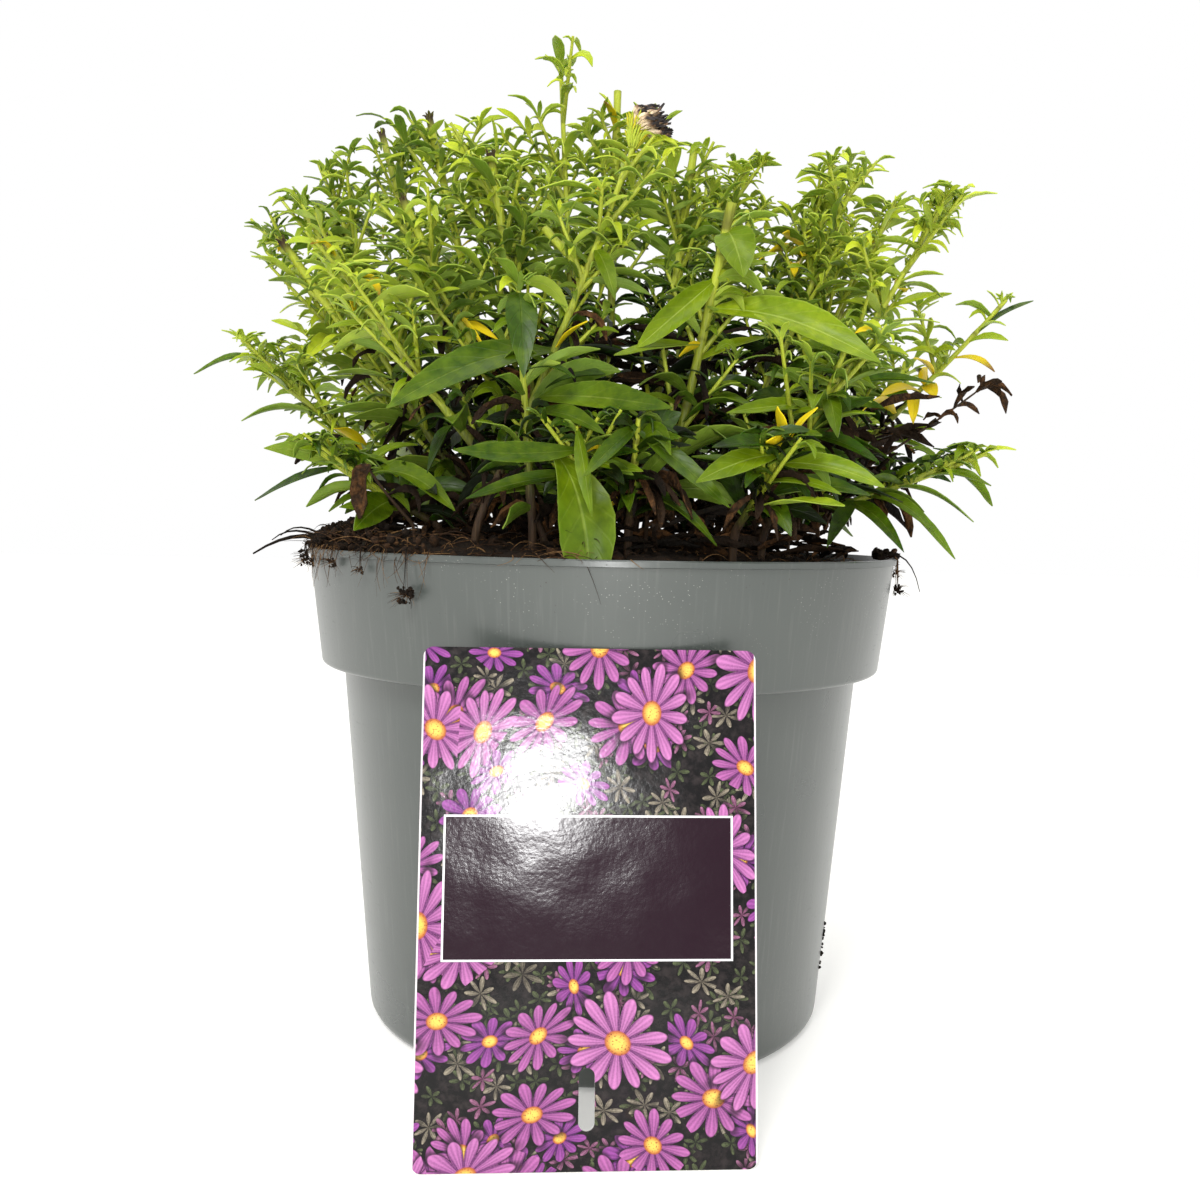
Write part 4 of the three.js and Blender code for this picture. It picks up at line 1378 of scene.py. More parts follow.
class Stem:
    """A leafy stem: where it runs, and its shoots and leaves."""

    def __init__(self, owner, foot, tip, **traits):
        base = np.array([*foot, PLANT.stem_free], float)
        top = np.array(tip, float)
        traits = SimpleNamespace(**{**dict.fromkeys(TRAITS, False), **traits})
        if not traits.cut and not traits.flower:
            share = PLANT.tip_leaf_reach / np.linalg.norm(base - top)
            top = top + (base - top) * share
        shift = PLANT.control_shift
        shifts = (shift * (tip[0] - foot[0]), shift * (tip[1] - foot[1]))
        rise = PLANT.control_rise * (tip[2] - PLANT.stem_free)
        self.curve = (base, base + np.array([*shifts, rise]), top)
        self.owner = owner
        self.traits = traits
        self.reach = tip[2]
        self.spread = math.hypot(tip[0], tip[1]) + CROWN.past_tip
        self.kind = CUT_STEM if traits.cut or traits.flower else GROWING_STEM
        if traits.low:
            self.kind = LOW_STEM
        self.top_radius = PLANT.growing_top_radius
        if traits.cut:
            self.top_radius = PLANT.cut_top_radius
        self.foot = np.array([*foot, PLANT.stem_bottom], float)
        self.places = [self.foot, *(self.at(share) for share in STEM_SHARES)]
        self.radii = [PLANT.foot_radius, *(self.radius_at(s) for s in STEM_SHARES)]
        self.shoots = []
        self.leaves = []
        self.hanging = []

    def at(self, share):
        """The place at a share of the stem's length."""
        return bend(*self.curve, share)

    def tangent(self, share):
        """The direction at a share of the stem's length."""
        return bend_tangent(*self.curve, share)

    def radius_at(self, share):
        """The stem's radius at a share of its length."""
        return PLANT.foot_radius + share * (self.top_radius - PLANT.foot_radius)


class Growth:
    """The whole plant, grown stem by stem."""

    def __init__(self):
        self.claims = Claims()
        self.stems = [self.plan_stem(i, entry) for i, entry in enumerate(STEMS)]
        first = len(self.stems)
        self.withered = [
            self.plan_stem(first + i, entry) for i, entry in enumerate(WITHERED)
        ]
        for entry in NAMED_LEAVES:
            self.add_named_leaf(*entry)
        flowering = next(stem for stem in self.stems if stem.traits.flower)
        middle = flowering.at(1) + flowering.tangent(1) * HEAD_ROOM
        front = middle + FRONT * (3 * HEAD_ROOM)
        self.claims.add(NOBODY, [(middle, front, HEAD_ROOM)])
        leafy = with_dice(self.stems, SEEDS.stems)
        for stem, roll in leafy:
            self.add_shoots(stem, roll, stem.kind.shoots, FIRST_SHOOTS)
        for stem, roll in leafy:
            self.add_stem_leaves(stem, roll, stem.kind.large_leaves, LARGE_LEAF)
        for stem, roll in with_dice(self.withered, SEEDS.withered):
            self.add_stem_leaves(stem, roll, WITHERED_LEAVES, DEAD_LEAF)
        for stem, roll in leafy:
            for shoot in stem.shoots:
                self.add_tip_leaves(stem, shoot.at, roll, LEAVES_PER_SHOOT)
            upper = partial(self.upper_place, stem)
            self.add_tip_leaves(stem, upper, roll, stem.kind.upper_leaves)

    @staticmethod
    def upper_place(stem, share):
        """A place on the upper part of a stem."""
        low = FIRST_SHOOTS.low
        return stem.at(low + (1 - low) * share)

    def plan_stem(self, owner, entry):
        """Moves a stem's foot outwards in a spiral until it touches no other."""
        facts = dict(entry)
        tip = facts.pop("tip")
        spread = PLANT.foot_spread
        foot = facts.pop("foot", (spread * tip[0], spread * tip[1]))
        tries = 0
        while True:
            shift = 2 * math.sqrt(tries)
            angle = tries * GOLDEN_ANGLE
            moved = (foot[0] + shift * math.cos(angle), foot[1] + shift * math.sin(angle))
            stem = Stem(owner, moved, tip, **facts)
            capsules = path_capsules(stem.places, stem.radii)
            if self.claims.free(owner, capsules, PLANT.stem_clearance):
                self.claims.add(owner, capsules)
                return stem
            tries += 1

    @staticmethod
    def arched_leaf(stem, at, tip, width, roll, arch):
        """A leaf from a share of its stem to a given tip."""
        base = stem.at(at)
        tip = np.array(tip, float)
        control = base + (tip - base) * ARCH_AT
        control[2] += arch * np.linalg.norm(tip - base)
        return blade(base, control, tip, width=width, roll=roll)

    def add_named_leaf(self, number, at, tip, width, roll, arch, tone, age=0.0):
        """A large leaf from its stem to a given tip, with its front kept open."""
        stem = self.stems[number - 1]
        leaf = self.arched_leaf(stem, at, tip, width, roll, arch)
        leaf.form = "named"
        if width > BLUNT_FROM:
            leaf.form = "blunt"
            leaf.base = leaf.base + np.array(BLUNT_BASE_MOVES, float)
            leaf.tip = leaf.tip + np.array(BLUNT_TIP_MOVES, float)
        leaf.tone = tone * NAMED_TONE
        leaf.age = age
        capsules = self.leaf_capsules(leaf)
        self.claims.add(stem.owner, capsules)
        for step in OPEN_FRONT:
            ahead = FRONT * step
            self.claims.add(NOBODY, [(a + ahead, b + ahead, r) for a, b, r in capsules])
        stem.leaves.append(leaf)

    def claim(self, stem, capsules, clearance):
        """Takes the room of capsules where it is free and inside the crown."""
        if not self.claims.free(stem.owner, capsules, clearance):
            return False
        if not stays_inside(stem, capsules):
            return False
        self.claims.add(stem.owner, capsules)
        return True

    def add_shoots(self, stem, roll, count, kind, clearance=PLANT.clearance):
        """Side shoots, which slant between outwards, upwards and along the stem."""
        azimuth = roll(0, 2 * math.pi)
        for _ in range(count):
            share = roll(kind.low, kind.high)
            longest = roll(kind.shortest, kind.longest)
            for tries in range(TRIES):
                azimuth += GOLDEN_ANGLE
                reach = longest * (1 - TRY_SHORTER * tries)
                start = stem.at(share)
                way = around(azimuth) + stem.tangent(share) * SHOOT_FOLLOW
                end = start + unit(way + UP * SHOOT_LIFT) * reach
                if self.claim(stem, [(start, end, PLANT.shoot_radius)], clearance):
                    stem.shoots.append(Shoot(start, end))
                    break

    @staticmethod
    def leaf_capsules(leaf):
        """Capsules along a leaf, from the end of its stalk."""
        count = math.ceil(np.linalg.norm(leaf.tip - leaf.base) / CAPSULE_LENGTH)
        shares = [LEAF_STALK + (1 - LEAF_STALK) * i / count for i in range(count + 1)]
        places = [bend(leaf.base, leaf.control, leaf.tip, share) for share in shares]
        return path_capsules(places, [max(0.5 * leaf.width, 1)] * len(places))

    def place_leaf(
        self, stem, start, azimuth, kind, roll, scale=1, room=PLANT.clearance, keep=None
    ):
        """Draws a leaf, and turns it round its stem until it is clear."""
        reach = roll(*kind.length) * scale
        width = reach * roll(*kind.width)
        rise = roll(*kind.rise)
        droop = roll(*kind.droop)
        slant = roll(-kind.roll, kind.roll)
        for tries in range(TRIES):
            out = around(azimuth + tries * TRY_TURN)
            first = out * math.cos(rise) + UP * math.sin(rise)
            second = out * math.cos(droop) - UP * math.sin(droop)
            control = start + first * (0.5 * reach)
            tip = control + second * (0.5 * reach)
            leaf = blade(start, control, tip, form=kind.form, width=width, roll=slant)
            if self.claim(stem, self.leaf_capsules(leaf), room):
                (stem.leaves if keep is None else keep).append(leaf)
                return

    def add_stem_leaves(self, stem, roll, count, kind):
        """Large leaves, longest low on the stem."""
        azimuth = roll(0, 2 * math.pi)
        for i in range(count):
            azimuth += GOLDEN_ANGLE
            share = roll(*STEM_LEAVES.low) + STEM_LEAVES.spread * i / count
            scale = STEM_LEAVES.scale - STEM_LEAVES.shrink * share
            self.place_leaf(stem, stem.at(share), azimuth, kind, roll, scale)

    def add_tip_leaves(
        self, stem, at, roll, count, kind=SMALL_LEAF, room=PLANT.clearance, low=0.3
    ):
        """Small leaves, from the tip of a stem or shoot downwards."""
        azimuth = roll(0, 2 * math.pi)
        for i in range(count):
            azimuth += GOLDEN_ANGLE
            share = 1 - (1 - low) * i / count
            self.place_leaf(stem, at(share), azimuth, kind, roll, room=room)


class Shoot:
    """A side shoot, straight from its start to its end."""

    def __init__(self, start, end):
        self.start = start
        self.end = end

    def at(self, share):
        """The place at a share of the shoot's length."""
        return self.start + (self.end - self.start) * share


CLOSE = -1.8  # leaves added here may cross others by so much, in millimetres
BLUNT_FROM = 14  # leaves wider than this have a blunt tip, in millimetres
BLUNT_BASE_MOVES = (-8, 0, 0)
BLUNT_TIP_MOVES = (-1, 0, -8)  # its tip ends behind the rim
NAMED_TONE = 0.45
# Painted shade on the leaves: their tone is made darker deep inside the crown and low in
# it, where little light reaches, and on high leaves at the crown's left
DEEP_FROM = 28  # painted shade makes leaves darker from here below the crown's top, in millimetres
DEEP_BELOW = 72  # and are darkest so much lower
DEEP_WITHIN = 110  # leaves farther than this from the axis stay out of this painted shade
LOW_AND_DARK = 229  # painted shade makes leaves below this height darker, in millimetres
DARK_DEPTH = 50  # and are darkest so much lower
LIGHT_EDGE = 25  # but for those so near to the crown's widest edge
SIDE_FROM = -42  # left of it high leaves get painted shade and low ones less painted shade
SIDE_WIDTH = 36  # and fully so this much farther
SIDE_FOOT = 225  # the height from which they count as high
SIDE_RISE = 30
SIDE_SHADE = 0.24
SIDE_LIGHT = 0.45
LEAST_TONE = 0.47  # of a leaf outside the painted shade
TONE_SPREAD = 0.52
SHADE_TONE = 0.72  # how much darker painted shade makes the deepest leaves
TURNING_CHANCE = 0.007  # of a leaf to be turning yellow
CROWN_SHOOTS = SimpleNamespace(low=0.7, high=0.99, shortest=10, longest=24)
CROWN_SHOOTS_PER_STEM = 5
LOW_SHOOTS_PER_STEM = 2
# Leaves at the tip of a shoot or stem, down to a share of its length
SHOOT_LEAVES = dict(count=10, kind=SHOOT_LEAF, low=0.15)
SHOOT_BUDS = dict(count=5, kind=BUD_LEAF, low=0.92)
UPPER_LEAVES = dict(count=14, kind=UPPER_LEAF, low=0.1)
SPARSE_LEAVES = dict(count=5, kind=UPPER_LEAF, low=0.1)
STEM_BUDS = dict(count=8, kind=BUD_LEAF, low=0.97)
# Leaves along a stem: how many, their kind, and from where to where
LOWER_LEAVES = (5, LOWER_LEAF, 0.04, 0.4)
MEDIUM_LEAVES = (15, MEDIUM_LEAF, 0.2, 0.85)
CURLED_LEAVES = (9, CURLED_LEAF, 0.7, 1.0)
HANGING_SHARES = (0.01, 0.6)


def add_leaves_along(growth, stem, roll, count, kind, low, high, keep=None):
    """Leaves spread along a share of a stem, in the golden spiral."""
    azimuth = roll(0, math.tau)
    spread = (high - low) / count
    for step in range(count):
        azimuth += GOLDEN_ANGLE
        share = low + spread * (step + roll(0, 1))
        growth.place_leaf(
            stem, stem.at(share), azimuth, kind, roll, room=CLOSE, keep=keep
        )


def thicken(growth, look):
    """Adds the many small leaves and shoots that the solids leave out."""
    for entry in FINE_NAMED_LEAVES:
        growth.add_named_leaf(*entry)
    for *entry, age in TURNED_LEAVES:
        growth.add_named_leaf(*entry, tone=1.0, age=age)
    for number, *entry in BROWN_LEAVES:
        stem = growth.withered[number - 1]
        leaf = growth.arched_leaf(stem, *entry)
        leaf.form = "dead"
        leaf.tone = 0.8
        stem.hanging.append(leaf)
    for number in SHOWN_STEMS:
        places = [growth.stems[number - 1].at(share) for share in SHOWN_SHARES]
        for step in OPEN_FRONT:
            ahead = [place + FRONT * step for place in places]
            radii = [SHOWN_RADIUS] * len(ahead)
            growth.claims.add(NOBODY, path_capsules(ahead, radii))
    for *place, radius in OPEN_PLACES:
        middle = np.array(place, float)
        growth.claims.add(NOBODY, [(middle, middle + FRONT, radius)])
    for number, share, end in PLACED_SHOOTS:
        stem = growth.stems[number - 1]
        stem.shoots.append(Shoot(stem.at(share), np.array(end, float)))
    for stem, roll in with_dice(growth.stems, SEEDS.more_shoots):
        if stem.kind is LOW_STEM:
            continue
        if not stem.traits.sparse:
            growth.add_shoots(stem, roll, look.more_shoots, MORE_SHOOTS, CLOSE)
        if stem.traits.dense:
            growth.add_shoots(stem, roll, CROWN_SHOOTS_PER_STEM, CROWN_SHOOTS, CLOSE)
        growth.add_shoots(stem, roll, LOW_SHOOTS_PER_STEM, LOW_SHOOTS, CLOSE)
    for stem, roll in with_dice(growth.stems, SEEDS.leaves_along):
        along = partial(add_leaves_along, growth, stem, roll)
        along(*LOWER_LEAVES)
        along(*MEDIUM_LEAVES)
    for stem, roll in with_dice(growth.stems, SEEDS.tip_leaves):
        add = partial(growth.add_tip_leaves, stem, roll=roll, room=CLOSE)
        for shoot in stem.shoots:
            add(shoot.at, **SHOOT_LEAVES)
            add(shoot.at, **SHOOT_BUDS)
        upper = partial(growth.upper_place, stem)
        add(upper, **(SPARSE_LEAVES if stem.traits.sparse else UPPER_LEAVES))
        if not stem.traits.cut and not stem.traits.flower:
            add(stem.at, **STEM_BUDS)
    everyone = [*growth.stems, *growth.withered]
    for stem, roll in with_dice(everyone, SEEDS.hanging):
        along = partial(add_leaves_along, growth, stem, roll)
        along(look.hanging, HANGING_LEAF, *HANGING_SHARES, stem.hanging)
    for stem, roll in with_dice(growth.withered, SEEDS.curled):
        curled = []
        add_leaves_along(growth, stem, roll, *CURLED_LEAVES, curled)
        for leaf in curled:
            leaf.tone = roll(0.45, 1.0)
        stem.hanging += curled


# Dead leaves caught between the stems: the room they hang in, in millimetres,
# whose top falls off to the right of fall_from
CAUGHT = SimpleNamespace(
    left=-24, right=92, deep=34, low=168, high=220, fall=0.36, fall_from=25
)
# The heap of dead leaves on the peat, in millimetres: where leaves start, where
# they end at the most, and how high they lie
HEAP = SimpleNamespace(
    start_radius=80, radius=86, lowest=1.5, rise=26, flat_radius=130, foot=152.5
)
SETTLED = 0.3  # how far the tip of a dead leaf stays up with its base


def fallen_leaves(count, caught):
    """Dead leaves that lie in a heap between the stems or were caught by them."""
    roll = Dice(SEEDS.fallen)
    leaves = []
    for i in range(count + caught):
        hangs = i >= count
        turn = roll(0, math.tau)
        from_axis = HEAP.start_radius * math.sqrt(roll(0, 1))
        base = on_peat(roll(0, math.tau), from_axis)
        flatter = 1 - from_axis / HEAP.flat_radius
        base[2] += HEAP.lowest + HEAP.rise * roll(0, 1) ** 2 * flatter
        if hangs:
            base[0] = roll(CAUGHT.left, CAUGHT.right)
            base[1] = roll(-CAUGHT.deep, CAUGHT.deep)
            high = CAUGHT.high - CAUGHT.fall * max(base[0] - CAUGHT.fall_from, 0)
            base[2] = roll(CAUGHT.low, high)
        reach = roll(8, 22)
        way = around(turn, height=roll(-0.25, 0.6))
        control = base + way * (0.5 * reach)
        tip = control + (way - UP * roll(0.0, 0.7)) * (0.45 * reach)
        for place in (control, tip):
            from_axis = math.hypot(place[0], place[1])
            if not hangs and from_axis > HEAP.radius:
                place[:2] *= HEAP.radius / from_axis
            place[2] = max(place[2], base[2] * SETTLED + HEAP.foot * (1 - SETTLED))
        leaf = blade(base, control, tip, form="dead")
        leaf.width = reach * roll(0.18, 0.32)
        leaf.roll = roll(-1.5, 1.5)
        if hangs:
            leaf.tone = roll(0.1, 0.75)
        leaves.append(leaf)
    tint(leaves, roll)
    return leaves


def painted_shade_depth(place):
    """How deep inside the crown a place is, from 0 at its outside to 1, which sets how much
    painted shade a leaf there gets.
    """
    from_axis = min(math.hypot(place[0], place[1]), CROWN.widest)
    below = (dome(from_axis) - DEEP_FROM - place[2]) / DEEP_BELOW
    within = (DEEP_WITHIN - from_axis) / (0.5 * DEEP_WITHIN)
    low = (LOW_AND_DARK - place[2]) / DARK_DEPTH
    beside = (CROWN.widest - from_axis) / LIGHT_EDGE
    return max(held(below) * held(within), held(low) * held(beside))


def tint(leaves, roll):
    """Gives each leaf its tone, with painted shade deep and low in the crown and on high
    leaves at its left, and its age, twist, curl and ripple.
    """
    for leaf in leaves:
        dead = leaf.form == "dead"
        drawn = roll(0.0, 1.0)
        if not hasattr(leaf, "tone"):
            # Painted shade: a darker tone deep and low in the crown, and on high leaves at
            # its left
            beside = held((SIDE_FROM - leaf.tip[0]) / SIDE_WIDTH)
            high = held((leaf.tip[2] - SIDE_FOOT) / SIDE_RISE)
            shaded = SHADE_TONE * painted_shade_depth(leaf.tip) * (1 - SIDE_LIGHT * beside)
            shaded += SIDE_SHADE * beside * high
            leaf.tone = drawn if dead else LEAST_TONE + TONE_SPREAD * drawn - shaded
        turning = roll(0.0, 1.0) > 1 - TURNING_CHANCE
        if not hasattr(leaf, "age"):
            leaf.age = 0.5 + 0.5 * drawn if turning else 0.0
        leaf.twist = roll(-1.0, 1.0) * (1.6 if dead else 0.35)
        leaf.curl = roll(1.6, 2.6) if dead else roll(0.4, 1.2)
        leaf.wave = roll(0.1, 0.3) if dead else roll(0.0, 0.06)
        leaf.phase = roll(0.0, 1.0)


@cache
def whole_plant():
    """The plant with all its leaves, grown once."""
    growth = Growth()
    thicken(growth, bpy.context.scene.aster_plant)
    everyone = [*growth.stems, *growth.withered]
    for stem, roll in with_dice(everyone, SEEDS.tones):
        tint(stem.leaves, roll)
        tint(stem.hanging, roll)
    return growth


# Stems


STEM_RINGS = 34
RINGS_BELOW = 3  # of them between the peat and the stem's free part
STEM_SIDES = 8
SHOOT_RINGS = 6
SHOOT_SIDES = 6
SHOOT_TAPER = 0.45
SOFTENINGS = 3  # of the bend where the stem leaves the peat
STEM_SLIMMER = 0.84  # the fine stems against the solid ones
DRY_SLIMMER = 0.36
FOOT_SLIMMER = 0.62
UNEVEN = 0.06  # how much a ring may be thicker or thinner
NODE_CHANCE = 0.16  # of a ring to be a thicker, brown node
NODE_SWELL = 1.16
NODE_AGE = 0.55
CUT_AGE = 0.5
TORN_AGES = (0.45, 0.8)
DEAD_AGE = 0.9
STUB_RADIUS = 1.1
STUB_TONE = 0.9
STUB_AGES = (0.0, 0.0, 0.0, 0.0, 0.1, 0.5)
TORN_STRIPS = 6


def tones_along(tone, age):
    """The tone and age of each ring, as lay_tubes takes them."""
    return np.stack([tone, age, 0 * tone], axis=-1)


def stem_tube(stem, dead):
    """The stem's own tube, from the peat to its tip."""
    rise = [share / RINGS_BELOW for share in range(RINGS_BELOW)]
    shares = np.linspace(0, 1, STEM_RINGS - RINGS_BELOW)
    base = stem.curve[0]
    places = [stem.foot + (base - stem.foot) * share for share in rise]
    places = np.array([*places, *(stem.at(share) for share in shares)])
    for _ in range(SOFTENINGS):
        places[1:9] = (places[0:8] + 2 * places[1:9] + places[2:10]) / 4
    roll = Dice(SEEDS.rings + stem.owner)
    slimmer = DRY_SLIMMER if dead else STEM_SLIMMER
    foot_radii = [PLANT.foot_radius] * RINGS_BELOW
    radii = np.array([*foot_radii, *(stem.radius_at(share) for share in shares)])
    radii *= slimmer * np.linspace(FOOT_SLIMMER / STEM_SLIMMER, 1, STEM_RINGS)
    tone = np.linspace(-0.5, 1.3, STEM_RINGS).clip(0, 1)
    age = np.linspace(1.05, -0.5, STEM_RINGS).clip(0, 1)
    for ring in range(RINGS_BELOW, STEM_RINGS):
        radii[ring] *= roll(1 - UNEVEN, 1 + UNEVEN)
        if roll(0, 1) < NODE_CHANCE:
            radii[ring] *= NODE_SWELL
            age[ring] = max(age[ring], NODE_AGE)
    if stem.traits.cut:
        age[-1] = CUT_AGE
    if stem.owner + 1 in TORN_STEMS:
        age[-2:] = TORN_AGES
    if dead:
        age[:] = DEAD_AGE
    return lay_tubes([places], [radii], [tones_along(tone, age)], STEM_SIDES)


def torn_top(top, way, radius, seed):
    """Dry strips of bark that stand round a cut end."""
    roll = Dice(seed)
    across = unit(np.cross(way, UP + FRONT * 0.1))
    other = np.cross(way, across)
    strips = []
    for i in range(TORN_STRIPS):
        angle = i * math.tau / TORN_STRIPS + roll(-0.4, 0.4)
        side = across * math.cos(angle) + other * math.sin(angle)
        start = top + side * (radius * 0.8) - way * 1.2
        control = start + way * roll(1.2, 2.2)
        tip = control + way * roll(0.2, 1.0) + side * roll(0, 1.4)
        strip = blade(start, control, tip, form="bud", width=roll(0.8, 1.4))
        strip.roll = roll(-0.5, 0.5)
        strip.twist = roll(-1, 1)
        strip.curl = 1.2
        strip.wave = 0.1
        strip.phase = roll(0, 1)
        strip.tone = 1.0
        strip.age = roll(0.5, 0.9)
        strips.append(strip)
    return lay_blades(strips, thickness=0.25, slot=1)


def stub_parts(stem):
    """The stem's cut side stubs."""
    steps = np.linspace(0, 1, SHOOT_RINGS)
    shade = tones_along(0 * steps + STUB_TONE, np.array(STUB_AGES))
    radii = [STUB_RADIUS] * SHOOT_RINGS
    parts = []
    for number, share, tip in STUBS:
        if number == stem.owner + 1:
            stub = Shoot(stem.at(share), np.array(tip, float))
            path = [stub.at(step) for step in steps]
            parts.append(lay_tubes([path], [radii], [shade], STEM_SIDES))
    return parts


def shoot_tubes(stem):
    """The side shoots of a stem."""
    if not stem.shoots:
        return []
    shares = np.linspace(0, 1, SHOOT_RINGS)
    paths = [[shoot.at(share) for share in shares] for shoot in stem.shoots]
    taper = PLANT.shoot_radius * (1 - SHOOT_TAPER * shares)
    shade = tones_along(0.6 + 0.4 * shares, 0 * shares)
    count = len(paths)
    return [lay_tubes(paths, [taper] * count, [shade] * count, SHOOT_SIDES)]


def build_stems():
    """One piece for each leafy stem."""
    for i, stem in enumerate(whole_plant().stems):
        batches = lay_blades(stem.leaves)
        batches.append(stem_tube(stem, dead=False))
        batches += shoot_tubes(stem)
        batches += stub_parts(stem)
        if i + 1 in TORN_STEMS:
            radius = stem.top_radius * STEM_SLIMMER
            seed = SEEDS.torn_tops + i
            batches += torn_top(stem.at(1), stem.tangent(1), radius, seed)
        node = f"stem_{i + 1}"
        piece = build_piece(f"leafy_{node}", batches)
        hand_over(piece, [node], [leaf_finish(), stem_finish()])


def build_withered():
    """One piece for each dead stem, and one for all the other dead leaves."""
    growth = whole_plant()
    for i, stem in enumerate(growth.withered):
        batches = lay_blades([*stem.leaves, *stem.hanging])
        batches.append(stem_tube(stem, dead=True))
        node = f"withered_{i + 1}"
        piece = build_piece(f"dry_{node}", batches)
        hand_over(piece, [node], [dead_finish(), stem_finish()])
    hanging = [leaf for stem in growth.stems for leaf in stem.hanging]
    look = bpy.context.scene.aster_plant
    hanging += fallen_leaves(look.fallen, look.caught)
    piece = build_piece("hanging_dead_leaves", lay_blades(hanging))
    hand_over(piece, [], [dead_finish()])


# Seed head


# In millimetres: the florets start in a disc on the cup and spread into a ball,
# and the rows of bracts run up the cup
FLORETS = SimpleNamespace(disc_radius=2.8, disc_height=3.2, disc_drop=0.8, spread=1.05)
FACING = (0.8, -0.4, 0.0)  # where the ball turns, added to the stem's direction
LEAN = (0.35, -0.2, -0.75)  # where the dark tips bend
BRACTS = SimpleNamespace(rows=6, in_row=12, lowest=-3.4, step=0.9, radius=1.1, widens=0.3)
CUP_RADII = (1.0, 1.4, 1.9, 2.4, 2.7, 1.4)
CUP_FOOT = -3.2
CUP_LENGTH = 6.8


def dry_strip(start, control, tip, roll, width, form="strip"):
    """A floret or bract along a curve."""
    strip = blade(start, control, tip, form=form, width=width)
    strip.roll = roll(-1.2, 1.2)
    strip.twist = roll(-1.2, 1.2)
    strip.curl = roll(1.0, 2.2)
    strip.wave = 0.08
    strip.phase = roll(0, 1)
    strip.tone = roll(0, 1)
    strip.age = 0.0
    return strip


def grow_florets(seat, axis, roll, count):
    """Dry florets in a ball, whose tips bend over."""
    lean = np.array(LEAN)
    facing = unit(axis + np.array(FACING))
    beside = unit(np.cross(facing, UP))
    above = np.cross(beside, facing)
    florets = []
    for i in range(count):
        share = (i + 0.5) / count
        spread = FLORETS.spread * math.sqrt(share)
        angle = i * GOLDEN_ANGLE
        side = beside * math.cos(angle) + above * math.sin(angle)
        start = seat + axis * (FLORETS.disc_height - FLORETS.disc_drop * share)
        start = start + side * (FLORETS.disc_radius * math.sqrt(share))
        way = unit(facing * math.cos(spread) + side * math.sin(spread))
        reach = roll(5.5, 8.0)
        control = start + way * (0.55 * reach)
        bend_over = facing * 0.7 + lean * roll(0.3, 1.0) - side * roll(0.1, 0.6)
        tip = control + unit(bend_over) * (0.55 * reach)
        florets.append(dry_strip(start, control, tip, roll, roll(1.2, 2.0)))
    return florets


def grow_bracts(seat, axis, roll):
    """Rows of green bracts round the cup."""
    across = unit(np.cross(axis, UP))
    other = np.cross(axis, across)
    bracts = []
    for row in range(BRACTS.rows):
        for i in range(BRACTS.in_row):
            angle = (i + 0.5 * row) * math.tau / BRACTS.in_row
            side = across * math.cos(angle) + other * math.sin(angle)
            start = seat + axis * (BRACTS.step * row + BRACTS.lowest)
            start = start + side * (BRACTS.radius + BRACTS.widens * row)
            control = start + side * roll(0.6, 1.6) + axis * 2.0
            tip = control + axis * roll(1.4, 3.0) + side * roll(0.0, 1.3)
            bract = dry_strip(start, control, tip, roll, roll(0.8, 1.3), "small")
            bract.roll = 0.0
            bract.twist = 0.0
            bract.tone = roll(0.75, 1.0)
            bract.age = roll(0.0, 0.35)
            bracts.append(bract)
    return bracts


def build_head(look):
    """Dry florets that bend over a cup of shaggy green bracts."""
    stem = next(stem for stem in whole_plant().stems if stem.traits.flower)
    axis = stem.tangent(1)
    seat = stem.at(1) + axis * 0.3
    roll = Dice(SEEDS.head)
    florets = grow_florets(seat, axis, roll, look.florets)
    bracts = grow_bracts(seat, axis, roll)
    shares = np.linspace(0, 1, len(CUP_RADII))
    cup = [seat + axis * (CUP_LENGTH * share + CUP_FOOT) for share in shares]
    shade = tones_along(shares * 0 + 0.8, shares * 0 + 0.2)
    batches = [
        *lay_blades(florets, thickness=0.16, slot=0),
        *lay_blades(bracts, thickness=0.2, slot=1),
        lay_tubes([cup], [CUP_RADII], [shade], 16, slot=2),
    ]
    piece = build_piece("dry_flower_head", batches)
    finishes = [floret_finish(), leaf_finish(), stem_finish()]
    hand_over(piece, ["seed_head"], finishes)


# Pot


def collar_radius(look, height):
    """The collar's outer radius at a height."""
    low = look.height - POT.collar_height
    high = look.height - POT.lip_height
    top = look.rim_radius - POT.lip_stands_out
    share = (height - low) / (high - low)
    return POT.collar_foot_radius + share * (top - POT.collar_foot_radius)


def body_radius(look, height):
    """The body's outer radius at a height."""
    share = height / (look.height - POT.collar_height)
    return POT.foot_radius + share * (POT.body_top_radius - POT.foot_radius)


def rounded_edge(radius, height, rounding, steps):
    """The rounded lower edge of the pot, as radii and heights."""
    return [
        (
            radius - rounding * (1 - math.sin(angle)),
            height + rounding * (1 - math.cos(angle)),
        )
        for angle in np.linspace(0, math.pi / 2, steps)
    ]


